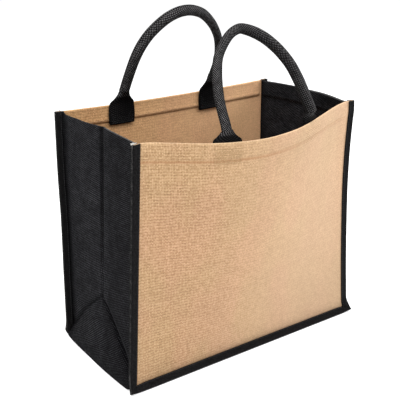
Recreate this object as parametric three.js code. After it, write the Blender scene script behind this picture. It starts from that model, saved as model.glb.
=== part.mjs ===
import * as THREE from 'three';
import { mergeVertices } from 'three/addons/utils/BufferGeometryUtils.js';

// Jute tote bag, millimetres, +X along the front panel, +Y to the back, +Z up.
// The bag stands open: its hem is pushed outward in front, its side creases lean in,
// its base fold swells and both padded handles stand up and lean over the mouth.

// Driving dimensions
const panelWidth = 380;
const baseDepth = 196;
const wallHeight = 340.4;
const seamHeight = 10;
const clothThickness = 1.5;
const tapeThickness = 1;
const layerGap = 0.48;
const tapeGap = 0.62;
const hemDepth = 25;
const hemExtra = 1.7;
const finWidth = 12;
const finSplay = 10;
const finDrop = 6.85;
const earBlend = 22;
const faceBlend = 13;
const cornerEars = { frontLeft: 13.8, frontRight: 15, backLeft: 12, backRight: 15 };
const cornerSplays = { frontLeft: 9.4, frontRight: 10, backLeft: 5.6, backRight: 10 };
const finTurns = { frontLeft: 2.2, frontRight: 0.6, backLeft: 0.6, backRight: 1 };
const tabHeight = 30;

// The hem swells 41 mm further to the front than to the back, so the standing bag is
// set this far back to have its outline centred on the origin.
const setBack = 20.55;

const colours = {
  jute: 0xd9b386,
  blackJute: 0x26272a,
  tape: 0x1f2023,
  handle: 0x323335,
};

// Heights of the cloth rows above the base seam. The lowest six rows meet the columns
// of the gusset on its V creases.
const apexRise = 94;
const creaseEndRise = 16;
const halfColumns = 5;
const hemLine = wallHeight - hemDepth;
const rowRises = [0, 3, 7];
for (let k = 0; k <= halfColumns; k += 1) {
  rowRises.push(creaseEndRise + (apexRise - creaseEndRise) * k / halfColumns);
}
rowRises.push(126, 162, 200, 238, 272, 298, hemLine - 1, hemLine + 1, 328, wallHeight);

// Distances of the panel columns from the left seam.
const panelColumns = 18;
const seamColumns = [0, 2, 6, 13];
const firstRun = seamColumns[seamColumns.length - 1];
const columnRuns = [...seamColumns];
for (let k = 1; k < panelColumns; k += 1) {
  columnRuns.push(firstRun + (panelWidth - 2 * firstRun) * k / panelColumns);
}
columnRuns.push(...seamColumns.map((d) => panelWidth - d).reverse());

// Where the four corner seams run, by height above the base seam.
const cornerSeams = {
  frontLeft: [
    { rise: 0, x: -190, y: -98 },
    { rise: 120, x: -185, y: -102.5 },
    { rise: 240, x: -180, y: -107 },
    { rise: 340.4, x: -175.9, y: -110.7 },
  ],
  frontRight: [
    { rise: 0, x: 190, y: -98 },
    { rise: 28, x: 187.6, y: -98.3 },
    { rise: 75, x: 183.6, y: -98.7 },
    { rise: 120, x: 180.6, y: -99.1 },
    { rise: 185, x: 177, y: -99.7 },
    { rise: 225, x: 175.8, y: -100.1 },
    { rise: 270, x: 176.2, y: -100.5 },
    { rise: 310, x: 178.4, y: -100.8 },
    { rise: 325, x: 179.6, y: -101 },
    { rise: 340.4, x: 178.8, y: -101.1 },
  ],
  backLeft: [
    { rise: 0, x: -190, y: 98 },
    { rise: 90, x: -187, y: 99 },
    { rise: 180, x: -183.6, y: 100 },
    { rise: 250, x: -182.4, y: 101 },
    { rise: 340.4, x: -179.4, y: 101.7 },
  ],
  backRight: [
    { rise: 0, x: 190, y: 98 },
    { rise: 110, x: 184, y: 99.5 },
    { rise: 230, x: 179.5, y: 101 },
    { rise: 340.4, x: 180.5, y: 102 },
  ],
};

// How each panel bows outward and how its hem edge dips, greatest at mid width.
const bows = {
  front: { out: 45, outPower: 1.7, dip: 12.6, dipPower: 1.25, dipLean: -0.26 },
  back: { out: 8, outPower: 1.7, dip: 5, dipPower: 1.25, dipLean: 0 },
};
const bellyEase = 0.3;
const swellFade = { across: 6, up: 4 };

// Soft dents and swells of the panels: place as shares of width and height, reach and
// depth in millimetres, outward positive.
const swells = {
  front: [
    { across: 0.22, up: 0.34, reach: 70, out: -2.6 },
    { across: 0.46, up: 0.55, reach: 90, out: 2.2 },
    { across: 0.74, up: 0.3, reach: 75, out: -2 },
    { across: 0.9, up: 0.8, reach: 45, out: -1.8 },
    { across: 0.14, up: 0.82, reach: 50, out: 1.6 },
  ],
  back: [
    { across: 0.3, up: 0.5, reach: 80, out: -3 },
    { across: 0.66, up: 0.62, reach: 85, out: 2.6 },
    { across: 0.5, up: 0.25, reach: 70, out: -2 },
  ],
};

// Form of the two sides, by height above the base seam: crease is how far the centre
// crease stands in, front and back are the swell of the two halves beside it, full is
// the swell of the whole side.
const sideForms = {
  left: [
    { rise: 94, crease: 0.4, front: 0.6, back: 1, full: 0 },
    { rise: 160, crease: 2, front: 0.4, back: 1.4, full: 0 },
    { rise: 240, crease: 3.6, front: -0.4, back: 1.8, full: 0 },
    { rise: 340.4, crease: 5, front: -1.4, back: 1.8, full: 0 },
  ],
  right: [
    { rise: 94, crease: 0.4, front: 0.8, back: 0.8, full: 0 },
    { rise: 160, crease: 1.4, front: 1, back: 1, full: 4 },
    { rise: 240, crease: 1.8, front: 1.2, back: 1.2, full: 10 },
    { rise: 340.4, crease: 2, front: 1.4, back: 1.4, full: 17 },
  ],
};
const foldSwell = 15;
const foldRadius = 3;
const foldRun = 6;
const foldLift = 0.22;
const foldSink = 60;
const foldFade = 70;
const creasePlace = 0.48;
const sideDip = 1.4;
const endDips = { left: 3.4, right: 0.6 };
const endReach = 6;
const panBlend = 14;
const powers = { full: 1.2, belowV: 0.9, sink: 1.5, fade: 1.3 };

// Share of the fold's swell reached at a distance from the front and back base seams.
const foldEnds = {
  front: [
    { reach: 3.6, swell: 0 },
    { reach: 6.4, swell: 0.74 },
    { reach: 24, swell: 0.84 },
    { reach: 43, swell: 0.91 },
    { reach: 67, swell: 0.98 },
    { reach: 94, swell: 1 },
  ],
  back: [
    { reach: 3.6, swell: 0 },
    { reach: 6.4, swell: 0.88 },
    { reach: 24, swell: 0.97 },
    { reach: 43, swell: 1 },
    { reach: 102, swell: 1 },
  ],
};

// Arches of the handles from foot to foot: along the panel, up from the hem, and how
// thick the padded tube is there. Feet say where a foot stands, its share of the width
// and how much taller than the tabled one its flare is.
const handleForms = {
  front: {
    feet: [{ x: -66.3, wide: 1, tall: 1 }, { x: 82, wide: 0.87, tall: 1 }],
    hemZ: 340,
    lineY: -142,
    bendZ: 352,
    lean: 0.55,
    rows: [
      { along: -66, up: 14, girth: 13.6 },
      { along: -65.9, up: 21, girth: 13.2 },
      { along: -66.2, up: 31.9, girth: 12.9 },
      { along: -65.1, up: 48.2, girth: 12.9 },
      { along: -62, up: 63.6, girth: 12.9 },
      { along: -56.3, up: 81.1, girth: 12.9 },
      { along: -48.9, up: 96.2, girth: 12.7 },
      { along: -37, up: 109.2, girth: 12.5 },
      { along: -22, up: 120.7, girth: 12.6 },
      { along: -11.7, up: 125.6, girth: 12.9 },
      { along: -1.1, up: 127.8, girth: 13.6 },
      { along: 8.8, up: 125.7, girth: 14.6 },
      { along: 21.7, up: 120.6, girth: 15.4 },
      { along: 35.2, up: 112.3, girth: 15.5 },
      { along: 45.7, up: 102.8, girth: 15.5 },
      { along: 53.9, up: 93.1, girth: 15.4 },
      { along: 63.2, up: 77.3, girth: 15.4 },
      { along: 68.7, up: 59.5, girth: 15.5 },
      { along: 72, up: 40.7, girth: 15.4 },
      { along: 74.4, up: 26.3, girth: 15.2 },
      { along: 76.8, up: 16, girth: 14.8 },
    ],
  },
  back: {
    feet: [{ x: -84, wide: 1.1, tall: 1.4 }, { x: 79, wide: 1.1, tall: 1.7 }],
    hemZ: 345,
    lineY: 104,
    bendZ: 360,
    lean: -0.5,
    rows: [
      { along: -81.1, up: 21.2, girth: 15 },
      { along: -78.6, up: 36.8, girth: 15 },
      { along: -76.2, up: 53.1, girth: 15 },
      { along: -72.9, up: 71.2, girth: 15.2 },
      { along: -67.3, up: 88.8, girth: 15.5 },
      { along: -57.8, up: 105.7, girth: 15.5 },
      { along: -42.1, up: 121.8, girth: 15.6 },
      { along: -29.7, up: 130, girth: 15.6 },
      { along: -14.4, up: 135.4, girth: 15.6 },
      { along: 2.4, up: 136.2, girth: 15.5 },
      { along: 21.3, up: 131.3, girth: 15 },
      { along: 32, up: 125.5, girth: 14.5 },
      { along: 46.6, up: 114, girth: 13.6 },
      { along: 56.4, up: 103.9, girth: 13.1 },
      { along: 66.4, up: 90.4, girth: 12.9 },
      { along: 74.1, up: 73.6, girth: 12.8 },
      { along: 79.4, up: 50.9, girth: 12.8 },
      { along: 78.2, up: 29.7, girth: 13 },
    ],
  },
};

// Sections of a handle foot: up from the hem edge, half width, half thickness and how
// square the section is.
const footSections = [
  { up: -tabHeight, half: 19.5, thick: 1.3, square: 5 },
  { up: -16, half: 20.5, thick: 1.5, square: 5 },
  { up: -2, half: 19.6, thick: 1.7, square: 4.5 },
  { up: 2.5, half: 18.4, thick: 2.2, square: 3.6 },
  { up: 6, half: 13.2, thick: 3.4, square: 2.8 },
  { up: 9.5, half: 9.4, thick: 5, square: 2.3 },
];
const footGap = 0.5;
const sectionPoints = 12;
const archSteps = 34;
const bendEase = 18;

// Smooth curve through table rows: the named column at a given rise.
function track(rows, name, rise) {
  let k = 0;
  while (k < rows.length - 2 && rise > rows[k + 1].rise) {
    k += 1;
  }
  const a = rows[k];
  const b = rows[k + 1];
  const before = rows[Math.max(k - 1, 0)];
  const after = rows[Math.min(k + 2, rows.length - 1)];
  const span = b.rise - a.rise;
  const slopeA = (b[name] - before[name]) / (b.rise - before.rise) * span;
  const slopeB = (after[name] - a[name]) / (after.rise - a.rise) * span;
  const t = (rise - a.rise) / span;
  if (t < 0) {
    return a[name];
  }
  const t2 = t * t;
  const t3 = t2 * t;
  return (2 * t3 - 3 * t2 + 1) * a[name] + (t3 - 2 * t2 + t) * slopeA
    + (3 * t2 - 2 * t3) * b[name] + (t3 - t2) * slopeB;
}

function seamPoint(corner, rise) {
  const rows = cornerSeams[corner];
  return new THREE.Vector3(track(rows, 'x', rise), track(rows, 'y', rise), seamHeight + rise);
}

// Point of a panel's middle surface; outSign is -1 for the front and 1 for the back.
function panelPoint(name, across, rise) {
  const outSign = name === 'front' ? -1 : 1;
  const bow = bows[name];
  const p = seamPoint(`${name}Left`, rise).lerp(seamPoint(`${name}Right`, rise), across);
  const up = rise / wallHeight;
  const arch = Math.max(4 * across * (1 - across), 0);
  const belly = (1 + bellyEase) * up - bellyEase * up * up;
  let out = bow.out * arch ** bow.outPower * belly;
  for (const swell of swells[name]) {
    const dx = (across - swell.across) * panelWidth;
    const dz = (up - swell.up) * wallHeight;
    const fade = Math.min(1, swellFade.across * arch) * Math.min(1, swellFade.up * up);
    out += swell.out * fade * Math.exp(-(dx * dx + dz * dz) / swell.reach ** 2);
  }
  p.y += outSign * out;
  p.z -= bow.dip * arch ** bow.dipPower * (1 + bow.dipLean * (2 * across - 1)) * up;
  return p;
}

const normalStep = 0.004;
function panelNormal(name, across, rise) {
  const left = panelPoint(name, across - normalStep, rise);
  const right = panelPoint(name, across + normalStep, rise);
  const below = panelPoint(name, across, rise - 1);
  const above = panelPoint(name, across, rise + 1);
  const n = right.sub(left).cross(above.sub(below)).normalize();
  return name === 'front' ? n : n.negate();
}

// Stations along a panel's sewn edge: down the left seam, along the base, up the right
// seam. Each has the seam point, the fin vector and the outward direction of its layers.
function edgeStations(name) {
  const outSign = name === 'front' ? -1 : 1;
  const baseFin = new THREE.Vector3(0, outSign * finSplay, -finDrop);
  const baseFace = new THREE.Vector3(0, outSign * finDrop, finSplay).normalize();
  const sideFace = new THREE.Vector3(0, outSign, 0);
  const cornerFace = baseFace.clone().add(sideFace).normalize();
  const stations = [];
  const cornerStation = (side) => {
    const ear = (side === 'Left' ? -1 : 1) * cornerEars[name + side];
    const fin = new THREE.Vector3(ear, outSign * cornerSplays[name + side], -finDrop);
    return { seam: seamPoint(name + side, 0), fin, face: cornerFace };
  };
  const sideStation = (side, rise) => {
    const sign = side === 'Left' ? -1 : 1;
    const fin = new THREE.Vector3(sign * finWidth, outSign * finTurns[name + side], 0);
    const face = new THREE.Vector3(-fin.y, fin.x, 0).normalize().multiplyScalar(sign * outSign);
    const flare = Math.max(0, 1 - rise / creaseEndRise) ** 2;
    const corner = cornerStation(side);
    fin.lerp(corner.fin, flare);
    face.lerp(corner.face, flare).normalize();
    return { seam: seamPoint(name + side, rise), fin, face };
  };
  for (let k = rowRises.length - 1; k > 0; k -= 1) {
    stations.push(sideStation('Left', rowRises[k]));
  }
  stations.push(cornerStation('Left'));
  for (const run of columnRuns.slice(1, -1)) {
    const seam = panelPoint(name, run / panelWidth, 0);
    const reach = Math.min(run, panelWidth - run);
    const side = run < panelWidth / 2 ? 'Left' : 'Right';
    const atCorner = Math.max(0, 1 - reach / earBlend);
    const fin = baseFin.clone();
    fin.x = (side === 'Left' ? -1 : 1) * cornerEars[name + side] * atCorner;
    fin.y += outSign * (cornerSplays[name + side] - finSplay) * atCorner;
    const turn = Math.max(0, 1 - reach / faceBlend) ** 2;
    stations.push({ seam, fin, face: baseFace.clone().lerp(cornerFace, turn).normalize() });
  }
  stations.push(cornerStation('Right'));
  for (const rise of rowRises.slice(1)) {
    stations.push(sideStation('Right', rise));
  }
  return stations;
}

const edges = { front: edgeStations('front'), back: edgeStations('back') };

// Shares of the fin: how far the cloth allowances reach, and the tape's leaves, its inner
// bend and the start of its rounded edge.
const allowance = 0.84;
const tapeShares = { outerLeaf: 0.11, innerLeaf: 0.2, bend: 0.91, bevel: 0.934 };
const tapeRounding = 0.8;

// Whether station j lies nearer to a bottom corner than the next one. The twisted cells
// of every layer in a fin are split from the fin's edge there to the next seam point.
function nearerFirst(j) {
  const sides = rowRises.length - 1;
  const last = edges.front.length - 1;
  const onSide = j < sides || j >= last - sides;
  return onSide ? j >= last / 2 : j < last / 2;
}

// Offset of a folded sheet's face where faces a and b meet, one thickness unit long.
function mitre(a, b) {
  return a.clone().add(b).divideScalar(1 + a.dot(b));
}

// Closed body from points and triangles: equal points are joined, empty triangles
// dropped, and the faces turned outward.
function closedBody(positions, triangles) {
  const loose = new THREE.BufferGeometry();
  loose.setAttribute('position', new THREE.Float32BufferAttribute(positions, 3));
  loose.setIndex(triangles);
  const geometry = mergeVertices(loose, 1e-4);
  const points = geometry.attributes.position;
  const index = geometry.index.array;
  const corner = (k) => new THREE.Vector3().fromBufferAttribute(points, index[k]);
  const kept = [];
  let volume = 0;
  for (let k = 0; k < index.length; k += 3) {
    const [a, b, c] = [index[k], index[k + 1], index[k + 2]];
    if (a !== b && b !== c && c !== a) {
      kept.push(a, b, c);
      volume += corner(k).dot(corner(k + 1).cross(corner(k + 2)));
    }
  }
  if (volume < 0) {
    kept.reverse();
  }
  geometry.setIndex(kept);
  geometry.computeVertexNormals();
  return geometry;
}

// Closed sheet between two grids of points; splitOther says which way a cell is split.
function sheetSolid(one, two, splitOther) {
  const rows = one.length;
  const columns = one[0].length;
  const positions = [];
  for (const grid of [one, two]) {
    for (const row of grid) {
      for (const p of row) {
        positions.push(p.x, p.y, p.z);
      }
    }
  }
  const at = (side, j, i) => side * rows * columns + j * columns + i;
  const indices = [];
  const quad = (a, b, c, d, other) => {
    if (other) {
      indices.push(a, b, d, b, c, d);
    } else {
      indices.push(a, b, c, a, c, d);
    }
  };
  for (let j = 0; j < rows - 1; j += 1) {
    for (let i = 0; i < columns - 1; i += 1) {
      const other = splitOther(j, i);
      quad(at(0, j, i), at(0, j, i + 1), at(0, j + 1, i + 1), at(0, j + 1, i), other);
      quad(at(1, j, i + 1), at(1, j, i), at(1, j + 1, i), at(1, j + 1, i + 1), !other);
    }
  }
  const right = columns - 1;
  const top = rows - 1;
  for (let i = 0; i < right; i += 1) {
    quad(at(0, 0, i + 1), at(0, 0, i), at(1, 0, i), at(1, 0, i + 1), false);
    quad(at(0, top, i), at(0, top, i + 1), at(1, top, i + 1), at(1, top, i), false);
  }
  for (let j = 0; j < top; j += 1) {
    quad(at(0, j, 0), at(0, j + 1, 0), at(1, j + 1, 0), at(1, j, 0), false);
    quad(at(0, j + 1, right), at(0, j, right), at(1, j, right), at(1, j + 1, right), false);
  }
  return closedBody(positions, indices);
}

// Closed body through rings of points, with both ends capped by the same triangles.
function ringSolid(rings, capTriangles, splitOther = () => false) {
  const count = rings[0].length;
  const positions = rings.flat().flatMap((p) => [p.x, p.y, p.z]);
  const indices = [];
  for (let j = 0; j < rings.length - 1; j += 1) {
    for (let i = 0; i < count; i += 1) {
      const a = j * count + i;
      const b = j * count + (i + 1) % count;
      if (splitOther(j, i)) {
        indices.push(a, b, a + count, b, b + count, a + count);
      } else {
        indices.push(a, b, b + count, a, b + count, a + count);
      }
    }
  }
  const last = (rings.length - 1) * count;
  for (const [a, b, c] of capTriangles) {
    indices.push(c, b, a);
    indices.push(last + a, last + b, last + c);
  }
  return closedBody(positions, indices);
}

// Triangles that fill a section, wound the way its points run.
function capOf(points) {
  const triangles = THREE.ShapeUtils.triangulateShape(points, []);
  const [a, b, c] = triangles[0].map((i) => points[i]);
  const same = THREE.ShapeUtils.area([a, b, c]) * THREE.ShapeUtils.area(points) > 0;
  return same ? triangles : triangles.map((t) => [...t].reverse());
}

// Panel with its seam allowances on three sides and its hem turned to the inside.
function panelGeometry(name) {
  const stations = edges[name];
  const count = rowRises.length;
  const wide = columnRuns.length;
  const half = clothThickness / 2;
  const station = (j, i) => {
    if (j === 0) {
      return stations[count - 1 + i];
    }
    return i === 0 ? stations[count - 1 - j] : stations[count - 1 + wide - 1 + j];
  };
  const outer = [];
  const inner = [];
  for (let j = -1; j < count; j += 1) {
    const outRow = [];
    const inRow = [];
    for (let i = -1; i <= wide; i += 1) {
      const jj = Math.max(j, 0);
      const ii = Math.min(Math.max(i, 0), wide - 1);
      const rise = rowRises[jj];
      const onSeam = jj === 0 || ii === 0 || ii === wide - 1;
      const inFin = j < 0 || i < 0 || i === wide;
      const across = columnRuns[ii] / panelWidth;
      const middle = panelPoint(name, across, rise);
      const wall = panelNormal(name, THREE.MathUtils.clamp(across, normalStep, 1 - normalStep), rise);
      let out = wall.clone();
      let inside = half;
      if (inFin) {
        const s = station(jj, ii);
        middle.addScaledVector(s.fin, allowance);
        out = s.face.clone();
      } else if (onSeam) {
        out = mitre(station(jj, ii).face, wall);
      } else if (rise > hemLine && ii > 1 && ii < wide - 2) {
        inside += hemExtra;
      }
      outRow.push(middle.clone().addScaledVector(out, half));
      inRow.push(middle.clone().addScaledVector(out, -inside));
    }
    outer.push(outRow);
    inner.push(inRow);
  }
  return sheetSolid(outer, inner, (j, i) => i >= outer[0].length / 2);
}

// Shares of the gusset's width where its columns stand, the crease among them.
function gussetShares() {
  const near = [0, 2, 3.6, 6.4].map((reach) => reach / baseDepth);
  const shares = [...near];
  for (let k = 1; k < halfColumns; k += 1) {
    shares.push(creasePlace * k / halfColumns);
  }
  shares.push(creasePlace);
  for (let k = 1; k < halfColumns; k += 1) {
    shares.push(creasePlace + (1 - creasePlace) * k / halfColumns);
  }
  shares.push(...near.map((share) => 1 - share).reverse());
  return shares;
}

// Share of the fold's swell at a place across the gusset, straight between table rows.
function swellEnds(share) {
  const rows = share < creasePlace ? foldEnds.front : foldEnds.back;
  const reach = baseDepth * (share < creasePlace ? share : 1 - share);
  const next = rows.findIndex((row) => row.reach >= reach - 1e-6);
  if (next <= 0) {
    return next === 0 ? rows[0].swell : 1;
  }
  const [a, b] = [rows[next - 1], rows[next]];
  return THREE.MathUtils.lerp(a.swell, b.swell, (reach - a.reach) / (b.reach - a.reach));
}

// Place within the front or back half of a side: none at the seam, one at the crease.
function halfShare(share) {
  return share < creasePlace ? share / creasePlace : (1 - share) / (1 - creasePlace);
}

// The fins hold the base seam up; past them the fold and the base sink to the floor.
function heldUp(share) {
  return Math.max(0, 1 - baseDepth * Math.min(share, 1 - share) / panBlend) ** 2;
}

// How far a side stands out from the straight line between its seams.
function sideSwell(side, share, rise) {
  const inFront = share < creasePlace;
  const s = halfShare(share);
  const form = sideForms[side];
  const upper = Math.max(rise, apexRise);
  const low = Math.min(rise / apexRise, 1);
  const hump = Math.sin(Math.PI * s) * track(form, inFront ? 'front' : 'back', upper);
  const crease = track(form, 'crease', upper) * s ** 3;
  const full = track(form, 'full', upper) * Math.sin(Math.PI * share) ** powers.full;
  const ends = swellEnds(share);
  const diagonal = creaseEndRise + (apexRise - creaseEndRise) * s;
  const belowV = Math.max(0, 1 - rise / diagonal);
  return (hump - crease + full) * low + foldSwell * ends * belowV ** powers.belowV;
}

// Rows of the gusset follow the stations: down the left side, over the base, up the right.
function gussetGeometry() {
  const shares = gussetShares();
  const total = edges.front.length;
  const half = clothThickness / 2;
  const inset = clothThickness + layerGap;
  const sideRows = rowRises.length;
  const frames = edges.front.map((front, j) => {
    const back = edges.back[j];
    return {
      front,
      back,
      from: front.seam.clone().addScaledVector(front.face, -inset),
      to: back.seam.clone().addScaledVector(back.face, -inset),
    };
  });
  const surface = (j, share) => {
    const { from, to } = frames[j];
    const p = from.clone().lerp(to, share);
    const onLeft = j < sideRows;
    const onRight = j >= total - sideRows;
    if (onLeft || onRight) {
      const rise = rowRises[onLeft ? sideRows - 1 - j : j - (total - sideRows)];
      const sign = onLeft ? -1 : 1;
      const side = onLeft ? 'left' : 'right';
      p.x += sign * sideSwell(side, share, rise);
      const fromSeam = Math.min((baseDepth * Math.min(share, 1 - share)) / endReach, 1);
      const dip = sideDip * Math.sin(Math.PI * share) ** 2
        + endDips[side] * (1 - halfShare(share)) * fromSeam;
      p.z -= dip * rise / wallHeight;
      const low = Math.max(0, 1 - rise / foldSink) ** powers.sink;
      p.z -= (1 - heldUp(share)) * (1 - foldLift) * low * (from.z - half);
      return p;
    }
    const run = columnRuns[j - sideRows + 1];
    const reach = Math.min(run, panelWidth - run);
    const sign = run < panelWidth / 2 ? -1 : 1;
    const ends = swellEnds(share);
    const held = heldUp(share);
    const roll = Math.min(reach / foldRun, 1) * Math.PI / 2;
    const rim = held + (1 - held) * foldLift * (1 - Math.sin(roll));
    const rolled = foldSwell + Math.min(reach, foldRun) - foldRadius * (1 - Math.cos(roll));
    const fade = Math.max(0, 1 - Math.max(reach - foldRun, 0) / foldFade) ** powers.fade;
    p.x += sign * ends * rolled * fade;
    p.z = half + (p.z - half) * rim;
    return p;
  };
  const grid = frames.map((frame, j) => shares.map((share) => surface(j, share)));
  const inwardAt = (j, i) => {
    const j0 = Math.max(j - 1, 0);
    const j1 = Math.min(j + 1, total - 1);
    const i0 = Math.max(i - 1, 0);
    const i1 = Math.min(i + 1, shares.length - 1);
    const along = grid[j1][i].clone().sub(grid[j0][i]);
    const across = grid[j][i1].clone().sub(grid[j][i0]);
    return across.cross(along).normalize().negate();
  };
  const outer = [];
  const inner = [];
  grid.forEach((row, j) => {
    const { front, back } = frames[j];
    const last = row.length - 1;
    const outRow = [];
    const inRow = [];
    const put = (p, inward, inside, outward = inward) => {
      inRow.push(p.clone().addScaledVector(inward, inside));
      outRow.push(p.clone().addScaledVector(outward, -half));
    };
    const rise = rowRises[j < sideRows ? sideRows - 1 - j : j - (total - sideRows)] ?? 0;
    put(row[0].clone().addScaledVector(front.fin, allowance), front.face, half);
    row.forEach((p, i) => {
      const inward = inwardAt(j, i);
      if (i === 0) {
        put(p, front.face, half, mitre(front.face, inward));
      } else if (i === last) {
        put(p, back.face, half, mitre(back.face, inward));
      } else {
        const hemmed = rise > hemLine && i > 2 && i < last - 2;
        put(p, inward, hemmed ? half + hemExtra : half);
      }
    });
    put(row[last].clone().addScaledVector(back.fin, allowance), back.face, half);
    outer.push(outRow);
    inner.push(inRow);
  });
  const middleColumn = 1 + shares.indexOf(creasePlace);
  const lastColumn = outer[0].length - 2;
  return sheetSolid(outer, inner, (j, i) => {
    if (i === 0) {
      return !nearerFirst(j);
    }
    return i === lastColumn ? nearerFirst(j) : (j < total / 2) === (i < middleColumn);
  });
}

// Tape folded over the fin: an outer leaf on the panel, an inner leaf on the gusset.
function bindingGeometry(name) {
  const half = clothThickness / 2;
  const outLow = half + tapeGap;
  const outHigh = outLow + tapeThickness;
  const inLow = half + layerGap + clothThickness + tapeGap;
  const inHigh = inLow + tapeThickness;
  const round = tapeThickness * tapeRounding;
  const { outerLeaf, innerLeaf, bend, bevel } = tapeShares;
  const section = [
    [outerLeaf, outHigh],
    [bevel, outHigh],
    [1, outHigh - round],
    [1, -inHigh + round],
    [bevel, -inHigh],
    [innerLeaf, -inHigh],
    [innerLeaf, -inLow],
    [bend, -inLow],
    [bend, outLow],
    [outerLeaf, outLow],
  ];
  const rings = edges[name].map(({ seam, fin, face }) => section.map(([a, b]) => seam.clone()
    .addScaledVector(fin, a)
    .addScaledVector(face, b)));
  const flat = section.map(([a, b]) => new THREE.Vector2(a * finWidth, b));
  return ringSolid(rings, capOf(flat), (j, i) => (i < 4 || i === 6) === nearerFirst(j));
}

// Height of the arch's middle line gives its lean: straight up at the hem, then inward.
function archPoint(form, along, up) {
  const z = form.hemZ + up;
  const over = z - form.bendZ;
  const bent = 0.5 * (over + Math.sqrt(over * over + bendEase * bendEase));
  return new THREE.Vector3(along, form.lineY + form.lean * bent, z);
}

// One point of a superellipse of half width one and half height one.
function sectionPoint(k, square) {
  const angle = 2 * Math.PI * (k + 0.5) / sectionPoints;
  const c = Math.cos(angle);
  const s = Math.sin(angle);
  const r = (Math.abs(c) ** square + Math.abs(s) ** square) ** (-1 / square);
  return [c * r, s * r];
}

// Foot rings lie on the hem's inner face; above the edge they close up into the rope.
function footRing(name, foot, sectionForm, side, neck) {
  const outSign = name === 'front' ? -1 : 1;
  const left = seamPoint(`${name}Left`, wallHeight).x;
  const right = seamPoint(`${name}Right`, wallHeight).x;
  const clear = clothThickness / 2 + hemExtra + footGap;
  const ring = [];
  const up = sectionForm.up * (sectionForm.up > 0 ? foot.tall : 1);
  const mix = Math.max(0, up / (neck.z - handleForms[name].hemZ));
  const rise = wallHeight + up;
  for (let k = 0; k < sectionPoints; k += 1) {
    const [a, b] = sectionPoint(k, sectionForm.square);
    const half = sectionForm.half * THREE.MathUtils.lerp(foot.wide, 1, mix);
    const x = foot.x + (neck.x - foot.x) * mix + side * a * half;
    const across = (x - left) / (right - left);
    const base = panelPoint(name, across, Math.min(rise, wallHeight));
    const normal = panelNormal(name, across, wallHeight - 2);
    const depth = clear + sectionForm.thick * (1 + b * outSign);
    const p = base.addScaledVector(normal, -depth);
    p.z += Math.max(0, up);
    p.y = THREE.MathUtils.lerp(p.y, neck.y - b * sectionForm.thick, mix * mix);
    ring.push(p);
  }
  return ring;
}

function handleGeometry(name) {
  const form = handleForms[name];
  const points = form.rows.map((row) => archPoint(form, row.along, row.up));
  const curve = new THREE.CatmullRomCurve3(points, false, 'centripetal');
  const plane = new THREE.Vector3(0, -1, form.lean).normalize();
  const rings = [];
  for (const sectionForm of footSections) {
    rings.push(footRing(name, form.feet[0], sectionForm, -1, points[0]));
  }
  for (let k = 0; k <= archSteps; k += 1) {
    const t = k / archSteps;
    const centre = curve.getPointAt(t);
    const tangent = curve.getTangentAt(t);
    const sideways = plane.clone().cross(tangent).normalize();
    const through = tangent.clone().cross(sideways);
    const place = curve.getUtoTmapping(t) * (form.rows.length - 1);
    const row = Math.min(Math.floor(place), form.rows.length - 2);
    const girth = THREE.MathUtils.lerp(form.rows[row].girth, form.rows[row + 1].girth, place - row);
    const radius = girth / 2;
    const ring = [];
    for (let i = 0; i < sectionPoints; i += 1) {
      const [a, b] = sectionPoint(i, 2);
      ring.push(centre.clone()
        .addScaledVector(sideways, a * radius)
        .addScaledVector(through, b * radius));
    }
    rings.push(ring);
  }
  for (const sectionForm of [...footSections].reverse()) {
    rings.push(footRing(name, form.feet[1], sectionForm, 1, points[points.length - 1]));
  }
  const cap = [];
  for (let i = 1; i < sectionPoints - 1; i += 1) {
    cap.push([0, i, i + 1]);
  }
  return ringSolid(rings, cap);
}

function cloth(colour, roughness) {
  return new THREE.MeshStandardMaterial({ color: colour, roughness, metalness: 0 });
}

const bag = new THREE.Group();
function add(name, geometry, colour, roughness) {
  const piece = new THREE.Mesh(geometry, cloth(colour, roughness));
  piece.name = name;
  bag.add(piece);
}

add('front_panel', panelGeometry('front'), colours.jute, 0.9);
add('back_panel', panelGeometry('back'), colours.jute, 0.9);
add('gusset', gussetGeometry(), colours.blackJute, 0.85);
add('front_binding', bindingGeometry('front'), colours.tape, 0.8);
add('back_binding', bindingGeometry('back'), colours.tape, 0.8);
add('front_handle', handleGeometry('front'), colours.handle, 0.8);
add('back_handle', handleGeometry('back'), colours.handle, 0.8);
bag.position.y = setBack;

export default bag;
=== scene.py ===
import math

import bpy
import numpy as np
from mathutils import Matrix, Vector, noise
from mathutils.geometry import tessellate_polygon


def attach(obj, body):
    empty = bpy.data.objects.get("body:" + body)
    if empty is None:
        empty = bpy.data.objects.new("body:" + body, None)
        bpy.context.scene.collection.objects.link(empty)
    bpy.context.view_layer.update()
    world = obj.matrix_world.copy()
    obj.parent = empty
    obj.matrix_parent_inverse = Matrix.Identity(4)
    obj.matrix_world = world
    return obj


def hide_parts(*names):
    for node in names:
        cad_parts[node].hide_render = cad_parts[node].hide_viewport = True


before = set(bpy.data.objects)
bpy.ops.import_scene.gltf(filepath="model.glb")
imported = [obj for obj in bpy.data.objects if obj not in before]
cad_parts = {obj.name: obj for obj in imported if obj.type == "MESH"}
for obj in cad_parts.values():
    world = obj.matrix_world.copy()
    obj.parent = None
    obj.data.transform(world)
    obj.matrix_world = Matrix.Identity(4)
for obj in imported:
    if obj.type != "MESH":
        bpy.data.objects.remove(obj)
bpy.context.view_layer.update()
print("frame loaded:", ", ".join(sorted(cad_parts)))

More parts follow.
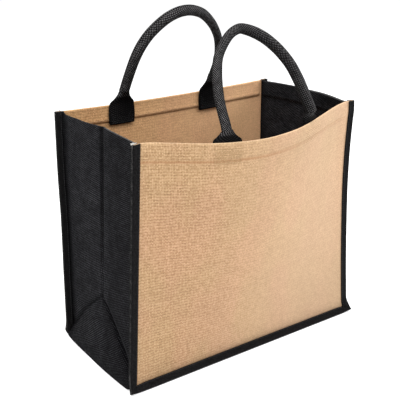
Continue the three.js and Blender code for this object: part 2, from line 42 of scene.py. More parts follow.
# The cut pieces and how the bag stands. Everything is in millimetres until toScene:
# x runs along the panels, y to the back and z up.
mm = 0.001
pattern = {
    "panelWidth": 380.0, "baseDepth": 196.0, "wallHeight": 340.4, "seamHeight": 10.0, "setBack": 20.55,
    "cloth": 1.5, "layerGap": 0.48, "hemDepth": 25.0, "hemExtra": 1.7, "stitchRise": 3.2, "seamCloth": 10.0,
    "apexRise": 94.0, "creaseEnd": 16.0, "creasePlace": 0.48, "allowance": 0.84,
}
wide, deep, high = (pattern[key] for key in ("panelWidth", "baseDepth", "wallHeight"))
creasePlace, creaseEnd, apexRise = (pattern[key] for key in ("creasePlace", "creaseEnd", "apexRise"))
hemLine = high - pattern["hemDepth"]
stitchLine = hemLine + pattern["stitchRise"]
halfCloth = pattern["cloth"] / 2

# The four corner seams: rise above the base seam, x, y.
cornerSeams = {
    "frontLeft": [(0, -190, -98), (120, -185, -102.5), (240, -180, -107), (340.4, -175.9, -110.7)],
    "frontRight": [
        (0, 190, -98), (28, 187.6, -98.3), (75, 183.6, -98.7), (120, 180.6, -99.1),
        (185, 177, -99.7), (225, 175.8, -100.1), (270, 176.2, -100.5), (310, 178.4, -100.8),
        (325, 179.6, -101), (340.4, 178.8, -101.1),
    ],
    "backLeft": [
        (0, -190, 98), (90, -187, 99), (180, -183.6, 100), (250, -182.4, 101), (340.4, -179.4, 101.7),
    ],
    "backRight": [(0, 190, 98), (110, 184, 99.5), (230, 179.5, 101), (340.4, 180.5, 102)],
}

# How each panel bows out and how its hem dips, then its dents and swells: place across and up
# as shares, reach, and how far it stands out. Pairs are for the left and the right end.
panelForms = {
    "front": {
        "sign": -1, "out": 45, "outPower": 1.7, "dip": 12.6, "dipPower": 1.25, "dipLean": -0.26,
        "swells": [
            (0.22, 0.34, 70, -2.6), (0.46, 0.55, 90, 2.2), (0.74, 0.3, 75, -2),
            (0.9, 0.8, 45, -1.8), (0.14, 0.82, 50, 1.6),
        ],
        "finTurns": (2.2, 0.6), "ears": (13.8, 15.0), "splays": (9.4, 10.0), "seed": 3.1,
    },
    "back": {
        "sign": 1, "out": 8, "outPower": 1.7, "dip": 5, "dipPower": 1.25, "dipLean": 0,
        "swells": [(0.3, 0.5, 80, -3), (0.66, 0.62, 85, 2.6), (0.5, 0.25, 70, -2)],
        "finTurns": (0.6, 1.0), "ears": (12.0, 15.0), "splays": (5.6, 10.0), "seed": 8.7,
    },
}
standing = {"easing": 0.3, "sideFade": 6, "lowFade": 4}


def toScene(points):
    return (np.asarray(points, float) + (0, pattern["setBack"], 0)) * mm


def unit(v):
    return v / np.linalg.norm(v, axis=-1, keepdims=True)


def blendOf(a, b, t):
    return a + (b - a) * t


def within(x):  # held between nothing and all
    return np.clip(x, 0, 1)


def inFrom(place, length):  # distance from the nearer end
    return np.minimum(place, length - place)


def atEnd(pair, end):  # the left value where end is below zero, or else the right one
    return np.where(end < 0, *pair)


def runLength(points):
    return np.concatenate([[0], np.cumsum(np.linalg.norm(np.diff(points, axis=0), axis=1))])


def cloudy(x, y, seed):  # soft noise from -1 to 1 at each place
    x, y = np.broadcast_arrays(np.asarray(x, float), np.asarray(y, float))
    values = [noise.noise((a, b, seed)) for a, b in zip(x.ravel(), y.ravel())]
    return np.array(values).reshape(x.shape)


def cubic(t, a, leaving, b, arriving):
    return ((2 * t**3 - 3 * t**2 + 1) * a + (t**3 - 2 * t**2 + t) * leaving
            + (3 * t**2 - 2 * t**3) * b + (t**3 - t**2) * arriving)


def track(table, column, at):  # smooth curve through a column of a table
    rows = np.asarray(table, float)
    place, value = rows[:, 0], rows[:, column]
    count = np.arange(len(rows))
    after, before = np.minimum(count + 1, count[-1]), np.maximum(count - 1, 0)
    slope = (value[after] - value[before]) / (place[after] - place[before])
    at = np.clip(at, place[0], place[-1])
    k = np.clip(np.searchsorted(place, at, side="right") - 1, 0, len(place) - 2)
    span = place[k + 1] - place[k]
    return cubic((at - place[k]) / span, value[k], slope[k] * span, value[k + 1], slope[k + 1] * span)


def panelPoint(side, across, rise):  # middle of a panel's cloth before its small creases
    form = panelForms[side]
    across, rise = np.broadcast_arrays(np.asarray(across, float), np.asarray(rise, float))
    ends = []
    for end in ("Left", "Right"):
        rows = cornerSeams[side + end]
        ends.append(np.stack([track(rows, 1, rise), track(rows, 2, rise), pattern["seamHeight"] + rise], -1))
    p = blendOf(ends[0], ends[1], across[..., None])
    up = rise / high
    easing = standing["easing"]
    arch = np.maximum(4 * across * (1 - across), 0)
    out = form["out"] * arch ** form["outPower"] * ((1 + easing) * up - easing * up * up)
    fade = np.minimum(1, standing["sideFade"] * arch) * np.minimum(1, standing["lowFade"] * up)
    for place, level, reach, stand in form["swells"]:
        away = ((across - place) * wide) ** 2 + ((up - level) * high) ** 2
        out = out + stand * fade * np.exp(-away / reach**2)
    p[..., 1] += form["sign"] * out
    p[..., 2] -= form["dip"] * arch ** form["dipPower"] * (1 + form["dipLean"] * (2 * across - 1)) * up
    return p


def panelNormal(side, across, rise, step=0.004):
    across = np.clip(across, step, 1 - step)
    acrossWay = panelPoint(side, across + step, rise) - panelPoint(side, across - step, rise)
    upWay = panelPoint(side, across, rise + 1) - panelPoint(side, across, rise - 1)
    return unit(np.cross(acrossWay, upWay)) * -panelForms[side]["sign"]


creasing = {"hem": 0.45, "pulled": 0.45, "pulledReach": 1.8, "edge": 14.0,
            "clouds": [(0.75, 62.0, 1.7, 0), (0.32, 21.0, 1.3, 5)]}  # stand, reach, how much longer, seed


def panelCreases(side, run, rise):  # small dents that no cut cloth is without
    seed = panelForms[side]["seed"]
    fade = within(np.minimum(inFrom(run, wide), rise) / creasing["edge"])
    dents = sum(stand * cloudy(run / reach, rise / (longer * reach), seed + more)
                for stand, reach, longer, more in creasing["clouds"])
    hem = creasing["hem"] * within((rise - hemLine + 1.5) / 3) * within((high - rise) / 6)
    pulled = creasing["pulled"] * np.exp(-((rise - stitchLine) / creasing["pulledReach"]) ** 2)
    return fade * (dents + hem - pulled)


def onPanel(side, run, rise, lift):  # lift is measured from the middle of the cloth, outward
    run, rise = np.broadcast_arrays(np.asarray(run, float), np.asarray(rise, float))
    wall = panelNormal(side, run / wide, rise)
    stand = panelCreases(side, run, rise) + lift
    return panelPoint(side, run / wide, rise) + wall * stand[..., None]


# The seam allowances stand out as a fin that the binding folds over.
fins = {"width": 12.0, "splay": 10.0, "drop": 6.85, "earBlend": 22.0, "faceBlend": 13.0, "blunt": 1.3}
finCloth = fins["width"] * pattern["allowance"]


def seamStations(side, rises, runs):  # down the left seam, along the base, up the right seam
    form = panelForms[side]
    sign, drop, blunt = form["sign"], fins["drop"], fins["blunt"]
    rise = np.concatenate([rises[:0:-1], np.zeros(len(runs)), rises[1:]])
    run = np.concatenate([np.zeros(len(rises) - 1), runs, np.full(len(rises) - 1, wide)])
    end = np.where(run < wide / 2, -1.0, 1.0)
    zero = np.zeros_like(rise)
    seam = panelPoint(side, run / wide, rise)
    ear, splay, turn = (atEnd(form[key], end) for key in ("ears", "splays", "finTurns"))
    baseFace = unit(np.array([0, sign * drop, fins["splay"]]))
    cornerFace = unit(baseFace + (0, sign, 0))
    cornerFin = np.stack([end * ear, sign * splay, zero - drop], -1)
    sideFin = np.stack([end * fins["width"], sign * turn, zero], -1)
    sideFace = unit(np.stack([-sideFin[:, 1], sideFin[:, 0], zero], -1)) * (end * sign)[:, None]
    flare = within(1 - np.maximum(rise - blunt, 0) / (creaseEnd - blunt))[:, None] ** 2
    reach = inFrom(run, wide)
    atCorner = within(1 - np.maximum(reach - blunt, 0) / (fins["earBlend"] - blunt))
    baseSplay = blendOf(fins["splay"], splay, atCorner)
    baseFin = np.stack([end * ear * atCorner, sign * baseSplay, zero - drop], -1)
    bend = within(1 - reach / fins["faceBlend"])[:, None] ** 2
    onSide = (rise > 0)[:, None]
    fin = np.where(onSide, blendOf(sideFin, cornerFin, flare), baseFin)
    face = unit(np.where(onSide, blendOf(sideFace, cornerFace, flare), blendOf(baseFace, cornerFace, bend)))
    return {"seam": seam, "fin": fin, "face": face, "rise": rise, "run": run, "along": runLength(seam)}


def mitre(a, b):
    return (a + b) / (1 + np.sum(a * b, -1, keepdims=True))


def finerSteps(stops, step):  # every stop is kept, with even steps of about that size between
    places = [np.array([stops[0]], float)]
    for a, b in zip(stops, stops[1:]):
        places.append(np.linspace(a, b, max(1, round((b - a) / step)) + 1)[1:])
    return np.concatenate(places)


def mirrored(near, step):  # close steps at both ends of a panel's width, even ones between
    return np.concatenate([near[:-1], finerSteps([near[-1], wide - near[-1]], step)[:-1],
                           wide - np.array(near[::-1], float)])


creaseSteps = 40
hemRound = [1.7, 1.1, 0.6, 0.25, 0.06]
wallRises = np.concatenate([
    [0, 1.5, 3, 5, 7, 10, 13], np.linspace(creaseEnd, apexRise, creaseSteps + 1),
    finerSteps([apexRise, hemLine - 0.5], 3.2)[1:], finerSteps([hemLine + 0.3, stitchLine, high - 3], 3.2),
    [high - d for d in hemRound], [high],
])
panelRuns = mirrored([0, 1, 2, 4, 6, 9, 13], 3.0)


def hemLifts(rise, reach, start):  # outer and inner face, measured from the cloth's middle
    inside = np.where(rise > hemLine, halfCloth + pattern["hemExtra"], halfCloth)
    low = within((high - rise) / hemRound[0])
    rounding = np.sqrt(np.clip(1 - (1 - low) ** 2, 0.03, 1))
    centre, half = (halfCloth - inside) / 2, (halfCloth + inside) / 2
    inLift = centre - half * rounding
    hemmed = within((reach - start) / 4)  # the turned layer ends beside the seams
    return centre + half * rounding, np.where(rise > hemLine, blendOf(-halfCloth, inLift, hemmed), inLift)


def addObject(name, data):
    added = bpy.data.objects.new(name, data)
    bpy.context.scene.collection.objects.link(added)
    return added


def addPiece(name, mesh):
    mesh.polygons.foreach_set("use_smooth", np.ones(len(mesh.polygons), bool))
    return addObject(name, mesh)


def meshPiece(name, points, faces, cloth, finishes, faceFinish=None):
    # cloth says where each point lies on the flat cloth, which is what the weaves follow.
    corners = np.asarray(points)[faces]
    if np.sum(corners[:, 0] * np.cross(corners[:, 1], corners[:, 2])) < 0:
        faces = faces[:, ::-1]
    mesh = bpy.data.meshes.new(name)
    mesh.from_pydata(toScene(points).tolist(), [], faces.tolist())
    mesh.update()
    place = mesh.attributes.new("cloth", "FLOAT_VECTOR", "POINT")
    place.data.foreach_set("vector", (np.asarray(cloth, float) * mm).astype(np.float32).ravel())
    for finish in finishes:
        mesh.materials.append(finish)
    if faceFinish is not None:
        mesh.polygons.foreach_set("material_index", np.asarray(faceFinish, np.int32))
    return addPiece(name, mesh)


def cells(a, b, c, d, other):  # two triangles in each cell, split the other way where other says
    one = np.where(other[..., None], np.stack([a, b, d], -1), np.stack([a, b, c], -1))
    two = np.where(other[..., None], np.stack([b, c, d], -1), np.stack([a, c, d], -1))
    return np.concatenate([one.reshape(-1, 3), two.reshape(-1, 3)])


def sheetPiece(name, outer, inner, cloth, split, finishes):  # a closed sheet between two grids
    rows, columns = outer.shape[:2]
    size = rows * columns
    at = np.arange(size).reshape(rows, columns)
    a, b, c, d = at[:-1, :-1], at[:-1, 1:], at[1:, 1:], at[1:, :-1]
    found = [cells(a, b, c, d, split), cells(b + size, a + size, d + size, c + size, ~split)]
    for p, q in ((at[0, 1:], at[0, :-1]), (at[-1, :-1], at[-1, 1:]), (at[:-1, 0], at[1:, 0]),
                 (at[1:, -1], at[:-1, -1])):
        found.append(cells(p, q, q + size, p + size, np.zeros(p.shape, bool)))
    points = np.concatenate([outer, inner]).reshape(-1, 3)
    places = np.concatenate([cloth, cloth + (0, 0, 1 / mm)]).reshape(-1, 3)  # z marks the inner face
    return meshPiece(name, points, np.concatenate(found), places, finishes)


def widened(left, grid, right):
    return np.concatenate([left[:, None], grid, right[:, None]], 1)


def withFins(grid, edge):  # a column on either side and a row below, one value for each seam station
    n, m = grid.shape[:2]
    low = edge[n - 1:n - 1 + m]
    return np.concatenate([np.concatenate([low[:1], low, low[-1:]])[None],
                           widened(edge[n - 1::-1], grid, edge[n - 2 + m:])])


def panelPiece(side, finishes):
    n, m = len(wallRises), len(panelRuns)
    stations = seamStations(side, wallRises, panelRuns)
    faces = stations["face"]
    run, rise = np.meshgrid(panelRuns, wallRises)
    middle = onPanel(side, run, rise, 0)
    wall = panelNormal(side, run / wide, rise)
    outward = wall.copy()
    outward[:, 0] = mitre(faces[n - 1::-1], wall[:, 0])
    outward[:, -1] = mitre(faces[n - 2 + m:], wall[:, -1])
    outward[0] = mitre(faces[n - 1:n - 1 + m], wall[0])
    middle = withFins(middle, stations["seam"] + pattern["allowance"] * stations["fin"])
    outward = withFins(outward, faces)
    layers = []
    for lift, plain in zip(hemLifts(rise, inFrom(run, wide), 2), (halfCloth, -halfCloth)):
        layers.append(middle + outward * np.pad(lift, ((1, 0), (1, 1)), constant_values=plain)[..., None])
    u, v = np.meshgrid([-finCloth, *panelRuns, wide + finCloth], [-finCloth, *wallRises])
    split = np.zeros((n, m + 1), bool)
    split[:, (m + 1) // 2:] = True
    return sheetPiece(side + "Panel", *layers, np.stack([u, v, 0 * u], -1), split, finishes)


# The gusset goes down one side, over the base and up the other. Its sides fold inward at
# a centre crease, and the base fold swells. Side rows: rise, crease, front, back, full.
gussetForm = {
    "left": [
        (94, 0.4, 0.6, 1, 0), (160, 2, 0.4, 1.4, 0), (240, 3.6, -0.4, 1.8, 0), (340.4, 5, -1.4, 1.8, 0),
    ],
    "right": [
        (94, 0.4, 0.8, 0.8, 0), (160, 1.4, 1, 1, 4), (240, 1.8, 1.2, 1.2, 10), (340.4, 2, 1.4, 1.4, 17),
    ],
    "foldSwell": 15.0, "foldRadius": 3.0, "foldRun": 6.0, "foldLift": 0.22, "foldSink": 60.0,
    "foldFade": 70.0, "fullPower": 1.2, "lowPower": 0.9, "sinkPower": 1.5, "fadePower": 1.3,
    "sideDip": 1.4, "endDips": (3.4, 0.6), "endReach": 6.0, "panBlend": 8.5,
    "frontEnds": [(3.5, 0), (4.8, 0.74), (24, 0.84), (43, 0.91), (67, 0.98), (94, 1)],
    "backEnds": [(3.5, 0), (4.8, 0.88), (24, 0.97), (43, 1), (102, 1)],
    "ripple": 0.9, "rippleReach": 24.0, "rippleLong": 170, "dent": 0.6, "dentReach": 34.0, "rippleEdge": 16,
    "rippleLow": 40, "groove": 1.3, "grooveWidth": 1.9, "foldSlope": 0.77, "step": 2.0, "stepRun": 9.0,
    "stepRound": 1.2, "stepHigh": 30, "centre": 1.9, "centreWidth": 2.6, "ridge": 0.7, "ridgeAside": 5,
    "ridgeWidth": 3.5,
}


def swellEnds(share):
    front = np.interp(deep * share, *np.array(gussetForm["frontEnds"]).T)
    back = np.interp(deep * (1 - share), *np.array(gussetForm["backEnds"]).T)
    return np.where(share < creasePlace, front, back)


def halfShare(share):  # from a seam, 0, to the centre crease, 1
    return np.where(share < creasePlace, share / creasePlace, (1 - share) / (1 - creasePlace))


def sideSwell(side, share, rise):
    s = halfShare(share)
    crease, front, back, full = (track(gussetForm[side], k, np.maximum(rise, apexRise)) for k in (1, 2, 3, 4))
    hump = np.sin(np.pi * s) * np.where(share < creasePlace, front, back)
    full = full * np.sin(np.pi * share) ** gussetForm["fullPower"]
    belowV = within(1 - rise / blendOf(creaseEnd, apexRise, s)) ** gussetForm["lowPower"]
    swell = (hump - crease * s**3 + full) * np.minimum(rise / apexRise, 1)
    return swell + gussetForm["foldSwell"] * swellEnds(share) * belowV


def gussetRipples(share, along):  # soft up-and-down folds and small dents
    form = gussetForm
    fade = within(inFrom(share, 1) * deep / form["rippleEdge"])
    ripple = cloudy(share * deep / form["rippleReach"], along / form["rippleLong"], 21.3)
    dent = cloudy(share * deep / form["dentReach"], along / form["dentReach"], 4.9)
    return fade * (form["ripple"] * ripple + form["dent"] * dent)


def foldLines(share, rise):  # pressed folds: both slopes of the V and the line above it
    form = gussetForm
    s = halfShare(share)
    diagonal = blendOf(creaseEnd, apexRise, s)
    away = (rise - diagonal) * form["foldSlope"]
    below = np.maximum(-away, 0)
    groove = -form["groove"] * np.exp(-(away / form["grooveWidth"]) ** 2)
    step = form["step"] * np.exp(-below / form["stepRun"]) * (1 - np.exp(-below / form["stepRound"]))
    step = step * within(diagonal / form["stepHigh"] - 0.5)
    aside = (share - creasePlace) * deep
    over = within((rise - apexRise + 4) / 8) * np.clip(1.25 - rise / high, 0.25, 1)
    ridge = form["ridge"] * np.exp(-((abs(aside) - form["ridgeAside"]) / form["ridgeWidth"]) ** 2)
    centre = form["centre"] * (ridge - np.exp(-(aside / form["centreWidth"]) ** 2))
    return within((s - 0.07) / 0.12) * (groove + step) + over * centre


near = np.array([0, 1.2, 2.4, 3.5, 4.1, 4.8, 6.2]) / deep
halfSteps = np.arange(3, creaseSteps) / creaseSteps
gussetShares = np.concatenate([near, creasePlace * halfSteps, [creasePlace],
                               creasePlace + (1 - creasePlace) * (1 - halfSteps[::-1]), (1 - near)[::-1]])
gussetLevels = {}  # the finished faces, which its hem's stitches follow


def gridFaces(grid):  # unit direction into the bag at each point
    return -unit(np.cross(np.gradient(grid, axis=1), np.gradient(grid, axis=0)))


def gussetPiece(finishes):
    form = gussetForm
    columns = len(gussetShares)
    edges = [seamStations(side, wallRises, panelRuns) for side in panelForms]
    rise, run, along = (edges[0][key][:, None] for key in ("rise", "run", "along"))
    total = len(rise)
    start, end = (edge["seam"] - edge["face"] * (pattern["cloth"] + pattern["layerGap"]) for edge in edges)
    share = gussetShares[None, :]
    p = blendOf(start[:, None], end[:, None], share[..., None])
    fromSeam = deep * inFrom(share, 1)
    held = within(1 - fromSeam / form["panBlend"]) ** 2
    sign = np.where(run < wide / 2, -1, 1)
    swell = atEnd((sideSwell("left", share, rise), sideSwell("right", share, rise)), sign)
    endDip = atEnd(form["endDips"], sign) * (1 - halfShare(share)) * within(fromSeam / form["endReach"])
    dip = form["sideDip"] * np.sin(np.pi * share) ** 2 + endDip
    sink = (1 - held) * (1 - form["foldLift"]) * within(1 - rise / form["foldSink"]) ** form["sinkPower"]
    sideZ = p[..., 2] - dip * rise / high - sink * (start[:, None, 2] - halfCloth)
    reach = inFrom(run, wide)
    onSide = reach == 0
    roll = np.minimum(reach / form["foldRun"], 1) * np.pi / 2
    rim = held + (1 - held) * form["foldLift"] * (1 - np.sin(roll))
    rolled = form["foldSwell"] + np.minimum(reach, form["foldRun"]) - form["foldRadius"] * (1 - np.cos(roll))
    fade = within(1 - np.maximum(reach - form["foldRun"], 0) / form["foldFade"]) ** form["fadePower"]
    p[..., 0] += sign * np.where(onSide, swell, swellEnds(share) * rolled * fade)
    p[..., 2] = np.where(onSide, sideZ, halfCloth + (p[..., 2] - halfCloth) * rim)
    inward = gridFaces(p)
    ripple = gussetRipples(share, along) * np.where(onSide, within(rise / form["rippleLow"]), 0)
    p += inward * ripple[..., None]
    p -= inward * np.where(onSide, foldLines(share, rise), 0)[..., None]
    straight = gridFaces(p)
    outward = straight.copy()
    for column, edge in zip((0, -1), edges):
        outward[:, column] = mitre(edge["face"], straight[:, column])
        straight[:, column] = edge["face"]
    outLift, inLift = hemLifts(rise + 0 * share, fromSeam, 3)
    outer = p - outward * outLift[..., None]
    inner = p - straight * inLift[..., None]
    gussetLevels.update(rise=edges[0]["rise"], outer=outer, inner=inner, outward=outward)
    tips = [p[:, column] + pattern["allowance"] * edge["fin"] for column, edge in zip((0, -1), edges)]
    halves = [edge["face"] * halfCloth for edge in edges]
    outer = widened(tips[0] - halves[0], outer, tips[1] - halves[1])
    inner = widened(tips[0] + halves[0], inner, tips[1] + halves[1])
    u = np.concatenate([[-finCloth / deep], gussetShares, [1 + finCloth / deep]]) * deep
    middle = 1 + int(np.argmin(abs(gussetShares - creasePlace)))
    split = (np.arange(total - 1)[:, None] < total / 2) == (np.arange(columns + 1)[None, :] < middle)
    nearFirst = nearerFirst(total)
    split[:, 0], split[:, -1] = ~nearFirst, nearFirst
    return sheetPiece("gussetCloth", outer, inner, spread(u, along, 0.0), split, finishes)


def spread(*columns):
    return np.stack(np.broadcast_arrays(*columns), -1)


def nearerFirst(total, rises=wallRises):  # twisted cells split from the fin edge nearer a bottom corner
    j = np.arange(total - 1)
    onSide = (j < len(rises) - 1) | (j >= total - len(rises))
    return np.where(onSide, j >= (total - 1) / 2, j < (total - 1) / 2)


# Tape folded over the fin: shares of the fin across, millimetres through.
tape = {"thick": 1.0, "gap": 0.62, "outerLeaf": 0.11, "innerLeaf": 0.2, "bend": 0.91, "bevel": 0.9,
        "rounding": 0.6, "edgeSteps": 10, "leafSteps": 5, "tuck": 3.2, "tuckRise": 13.0, "tuckRun": 13.0,
        "tuckFrom": 0.3, "edge": 0.03, "flat": (0.03, 1.08)}
tapeOut = halfCloth + tape["gap"]
tapeIn = halfCloth + pattern["layerGap"] + pattern["cloth"] + tape["gap"]


def tapeSection():
    keys = "thick", "bevel", "bend", "outerLeaf", "innerLeaf", "edge"
    thick, bevel, bend, outer, inner, edge = (tape[key] for key in keys)
    rounded = thick * tape["rounding"]
    middle, half = (tapeOut - tapeIn) / 2, (tapeOut + tapeIn) / 2 + thick
    points = []

    def leaf(start, stop, level):
        for k in range(tape["leafSteps"]):
            points.append((blendOf(start, stop, k / tape["leafSteps"]), level))

    leaf(outer + edge, bevel, tapeOut + thick)
    for k in range(tape["edgeSteps"] + 1):
        angle = math.pi / 2 - math.pi * k / tape["edgeSteps"]
        c, s = math.cos(angle), math.sin(angle)
        r = (abs(c) ** 3 + abs(s) ** 3) ** (-1 / 3)
        points.append((bevel + (1 - bevel) * c * r, middle + half * s * r))
    leaf(bevel - 0.02, inner + edge, -tapeIn - thick)
    points.extend([(inner + edge, -tapeIn - thick), (inner, -tapeIn - rounded), (inner, -tapeIn)])
    leaf(inner + 0.02, bend, -tapeIn)
    points.extend([(bend, -tapeIn), (bend, tapeOut)])
    leaf(bend - edge, outer, tapeOut)
    points.extend([(outer, tapeOut), (outer, tapeOut + rounded)])
    return np.array(points)


tapeRises = np.concatenate([[0, 1, 2, 3, 5, 7, 9, 11, 13], finerSteps([16, high], 4.0)])
tapeRuns = mirrored([0, 1, 2, 4, 6, 9, 13, 17, 22], 4.0)


def ringFaces(at, other=None):  # triangles round a body that is made of rings
    after = np.roll(at, -1, axis=1)
    other = np.zeros(at[1:].shape, bool) if other is None else other
    return cells(at[:-1], after[:-1], after[1:], at[1:], other)


def endCaps(section, at):  # fills both ends of a ringed body with the same triangles
    outline = [Vector((x, y, 0)) for x, y in section]
    area = np.sum([x0 * y1 - x1 * y0 for (x0, y0), (x1, y1) in zip(section, np.roll(section, -1, 0))])
    triangles = []
    for i, j, k in tessellate_polygon([outline]):
        turn = (outline[j] - outline[i]).cross(outline[k] - outline[i]).z
        triangles.append((i, j, k) if turn * area > 0 else (i, k, j))
    triangles = np.array(triangles)
    return np.concatenate([at[0][triangles[:, ::-1]], at[-1][triangles]])


def bindingPiece(side, finishes):
    stations = seamStations(side, tapeRises, tapeRuns)
    section = tapeSection()
    flat = section * (fins["width"], 1)
    share, level = section[None, :, 0, None], section[None, :, 1, None]
    corner = np.maximum(stations["rise"] / tape["tuckRise"], inFrom(stations["run"], wide) / tape["tuckRun"])
    tucked = within(1 - corner)[:, None, None] ** 2 * within((share - tape["tuckFrom"]) / tape["tuckFrom"])
    onInnerLeaf = level < -(tapeIn + tape["thick"] * tape["rounding"]) + 0.01
    level = np.where(onInnerLeaf, level - tape["tuck"] * tucked, level)
    points = stations["seam"][:, None] + stations["fin"][:, None] * share + stations["face"][:, None] * level
    around = runLength(flat)
    fromEdge = abs(around - around[np.argmax(section[:, 0])])
    cloth = spread(stations["along"][:, None], around, fromEdge)
    total = len(stations["rise"])
    at = np.arange(total * len(section)).reshape(total, -1)
    sides = ringFaces(at, (section[:, 1] > -1) == nearerFirst(total, tapeRises)[:, None])
    caps = endCaps(flat, at)
    return meshPiece(side + "Binding", points.reshape(-1, 3), np.concatenate([sides, caps]),
                     cloth.reshape(-1, 3), finishes, [0] * len(sides) + [1] * len(caps))


# Padded handles. Rows run from foot to foot: along the panel, up from the hem, girth.
# Foot rows: up from the hem edge, half width, half thickness, squareness.
handleForms = {
    "front": {
        "feet": [(-66.3, 1, 1), (82, 0.87, 1)], "hemZ": 340, "lineY": -142, "bendZ": 352, "lean": 0.55,
        "rows": [
            (-66, 14, 13.6), (-65.9, 21, 13.2), (-66.2, 31.9, 12.9), (-65.1, 48.2, 12.9),
            (-62, 63.6, 12.9), (-56.3, 81.1, 12.9), (-48.9, 96.2, 12.7), (-37, 109.2, 12.5),
            (-22, 120.7, 12.6), (-11.7, 125.6, 12.9), (-1.1, 127.8, 13.6), (8.8, 125.7, 14.6),
            (21.7, 120.6, 15.4), (35.2, 112.3, 15.5), (45.7, 102.8, 15.5), (53.9, 93.1, 15.4),
            (63.2, 77.3, 15.4), (68.7, 59.5, 15.5), (72, 40.7, 15.4), (74.4, 26.3, 15.2), (76.8, 16, 14.8),
        ],
    },
    "back": {
        "feet": [(-84, 1.1, 1.4), (79, 1.1, 1.7)], "hemZ": 345, "lineY": 104, "bendZ": 360, "lean": -0.5,
        "rows": [
            (-81.1, 21.2, 15), (-78.6, 36.8, 15), (-76.2, 53.1, 15), (-72.9, 71.2, 15.2),
            (-67.3, 88.8, 15.5), (-57.8, 105.7, 15.5), (-42.1, 121.8, 15.6), (-29.7, 130, 15.6),
            (-14.4, 135.4, 15.6), (2.4, 136.2, 15.5), (21.3, 131.3, 15), (32, 125.5, 14.5),
            (46.6, 114, 13.6), (56.4, 103.9, 13.1), (66.4, 90.4, 12.9), (74.1, 73.6, 12.8),
            (79.4, 50.9, 12.8), (78.2, 29.7, 13),
        ],
    },
    "footRows": [(-30, 19.5, 1.3, 5), (-16, 20.5, 1.5, 5), (-2, 19.6, 1.7, 4.5), (2.5, 18.4, 2.2, 3.6),
                 (6, 13.2, 3.4, 2.8), (9.5, 9.4, 5, 2.3)],
    "points": 32, "step": 3.0, "footStep": 1.6, "footGap": 0.5, "bendEase": 18.0, "fill": 0.9,
}
footInside = halfCloth + pattern["hemExtra"] + handleForms["footGap"]


def archPoint(form, along, up):
    z = form["hemZ"] + up
    over = z - form["bendZ"]
    bent = 0.5 * (over + np.sqrt(over * over + handleForms["bendEase"] ** 2))
    return np.stack([along, form["lineY"] + form["lean"] * bent, z], -1)


def smoothPath(points, pieces=20):  # centripetal curve through the points
    ends = [2 * points[0] - points[1], *points, 2 * points[-1] - points[-2]]
    found, places = [], []
    for k in range(1, len(ends) - 2):
        p0, p1, p2, p3 = ends[k - 1:k + 3]
        d0, d1, d2 = (np.sqrt(np.linalg.norm(b - a)) for a, b in ((p0, p1), (p1, p2), (p2, p3)))
        m1 = ((p1 - p0) / d0 - (p2 - p0) / (d0 + d1) + (p2 - p1) / d1) * d1
        m2 = ((p2 - p1) / d1 - (p3 - p1) / (d1 + d2) + (p3 - p2) / d2) * d1
        last = k == len(ends) - 3
        for t in np.linspace(0, 1, pieces + 1)[:None if last else -1]:
            found.append(cubic(t, p1, m1, p2, m2))
            places.append(k - 1 + t)
    return np.array(found), np.array(places)


def ringShape(square, count):  # superellipse of half width one, its points spread evenly
    angle = 2 * np.pi * (np.arange(count) + 0.5) / count
    c, s = np.cos(angle), np.sin(angle)
    r = (abs(c) ** square + abs(s) ** square) ** (-1 / square)
    return c * r, s * r


def footRings(side, foot, neck, neckUp, girth, turn):
    outSign = panelForms[side]["sign"]
    rows = [(r[0] * (foot[2] if r[0] > 0 else 1), *r[1:]) for r in handleForms["footRows"]]
    rows.append((neckUp, girth / 2, girth / 2, 2))
    left, right = (panelPoint(side, end, high)[0] for end in (0, 1))
    rings = []
    for up in finerSteps([rows[0][0], rows[2][0], neckUp], handleForms["footStep"])[:-1]:
        half, thick, square = (track(rows, column, up) for column in (1, 2, 3))
        a, b = ringShape(square, handleForms["points"])
        mix = max(0, up / neckUp)
        x = foot[0] + (neck[0] - foot[0]) * mix + turn * a * half * blendOf(foot[1], 1, mix)
        across = (x - left) / (right - left)
        p = panelPoint(side, across, min(high + up, high))
        wall = panelNormal(side, across, high - 2)
        p = p - wall * (footInside + thick * (1 + b * outSign))[:, None]
        p[:, 2] += max(0, up)
        p[:, 1] = blendOf(p[:, 1], neck[1] - b * thick, mix * mix)
        p[:, 2] = blendOf(p[:, 2], neck[2], mix**3)
        rings.append(p)
    return rings


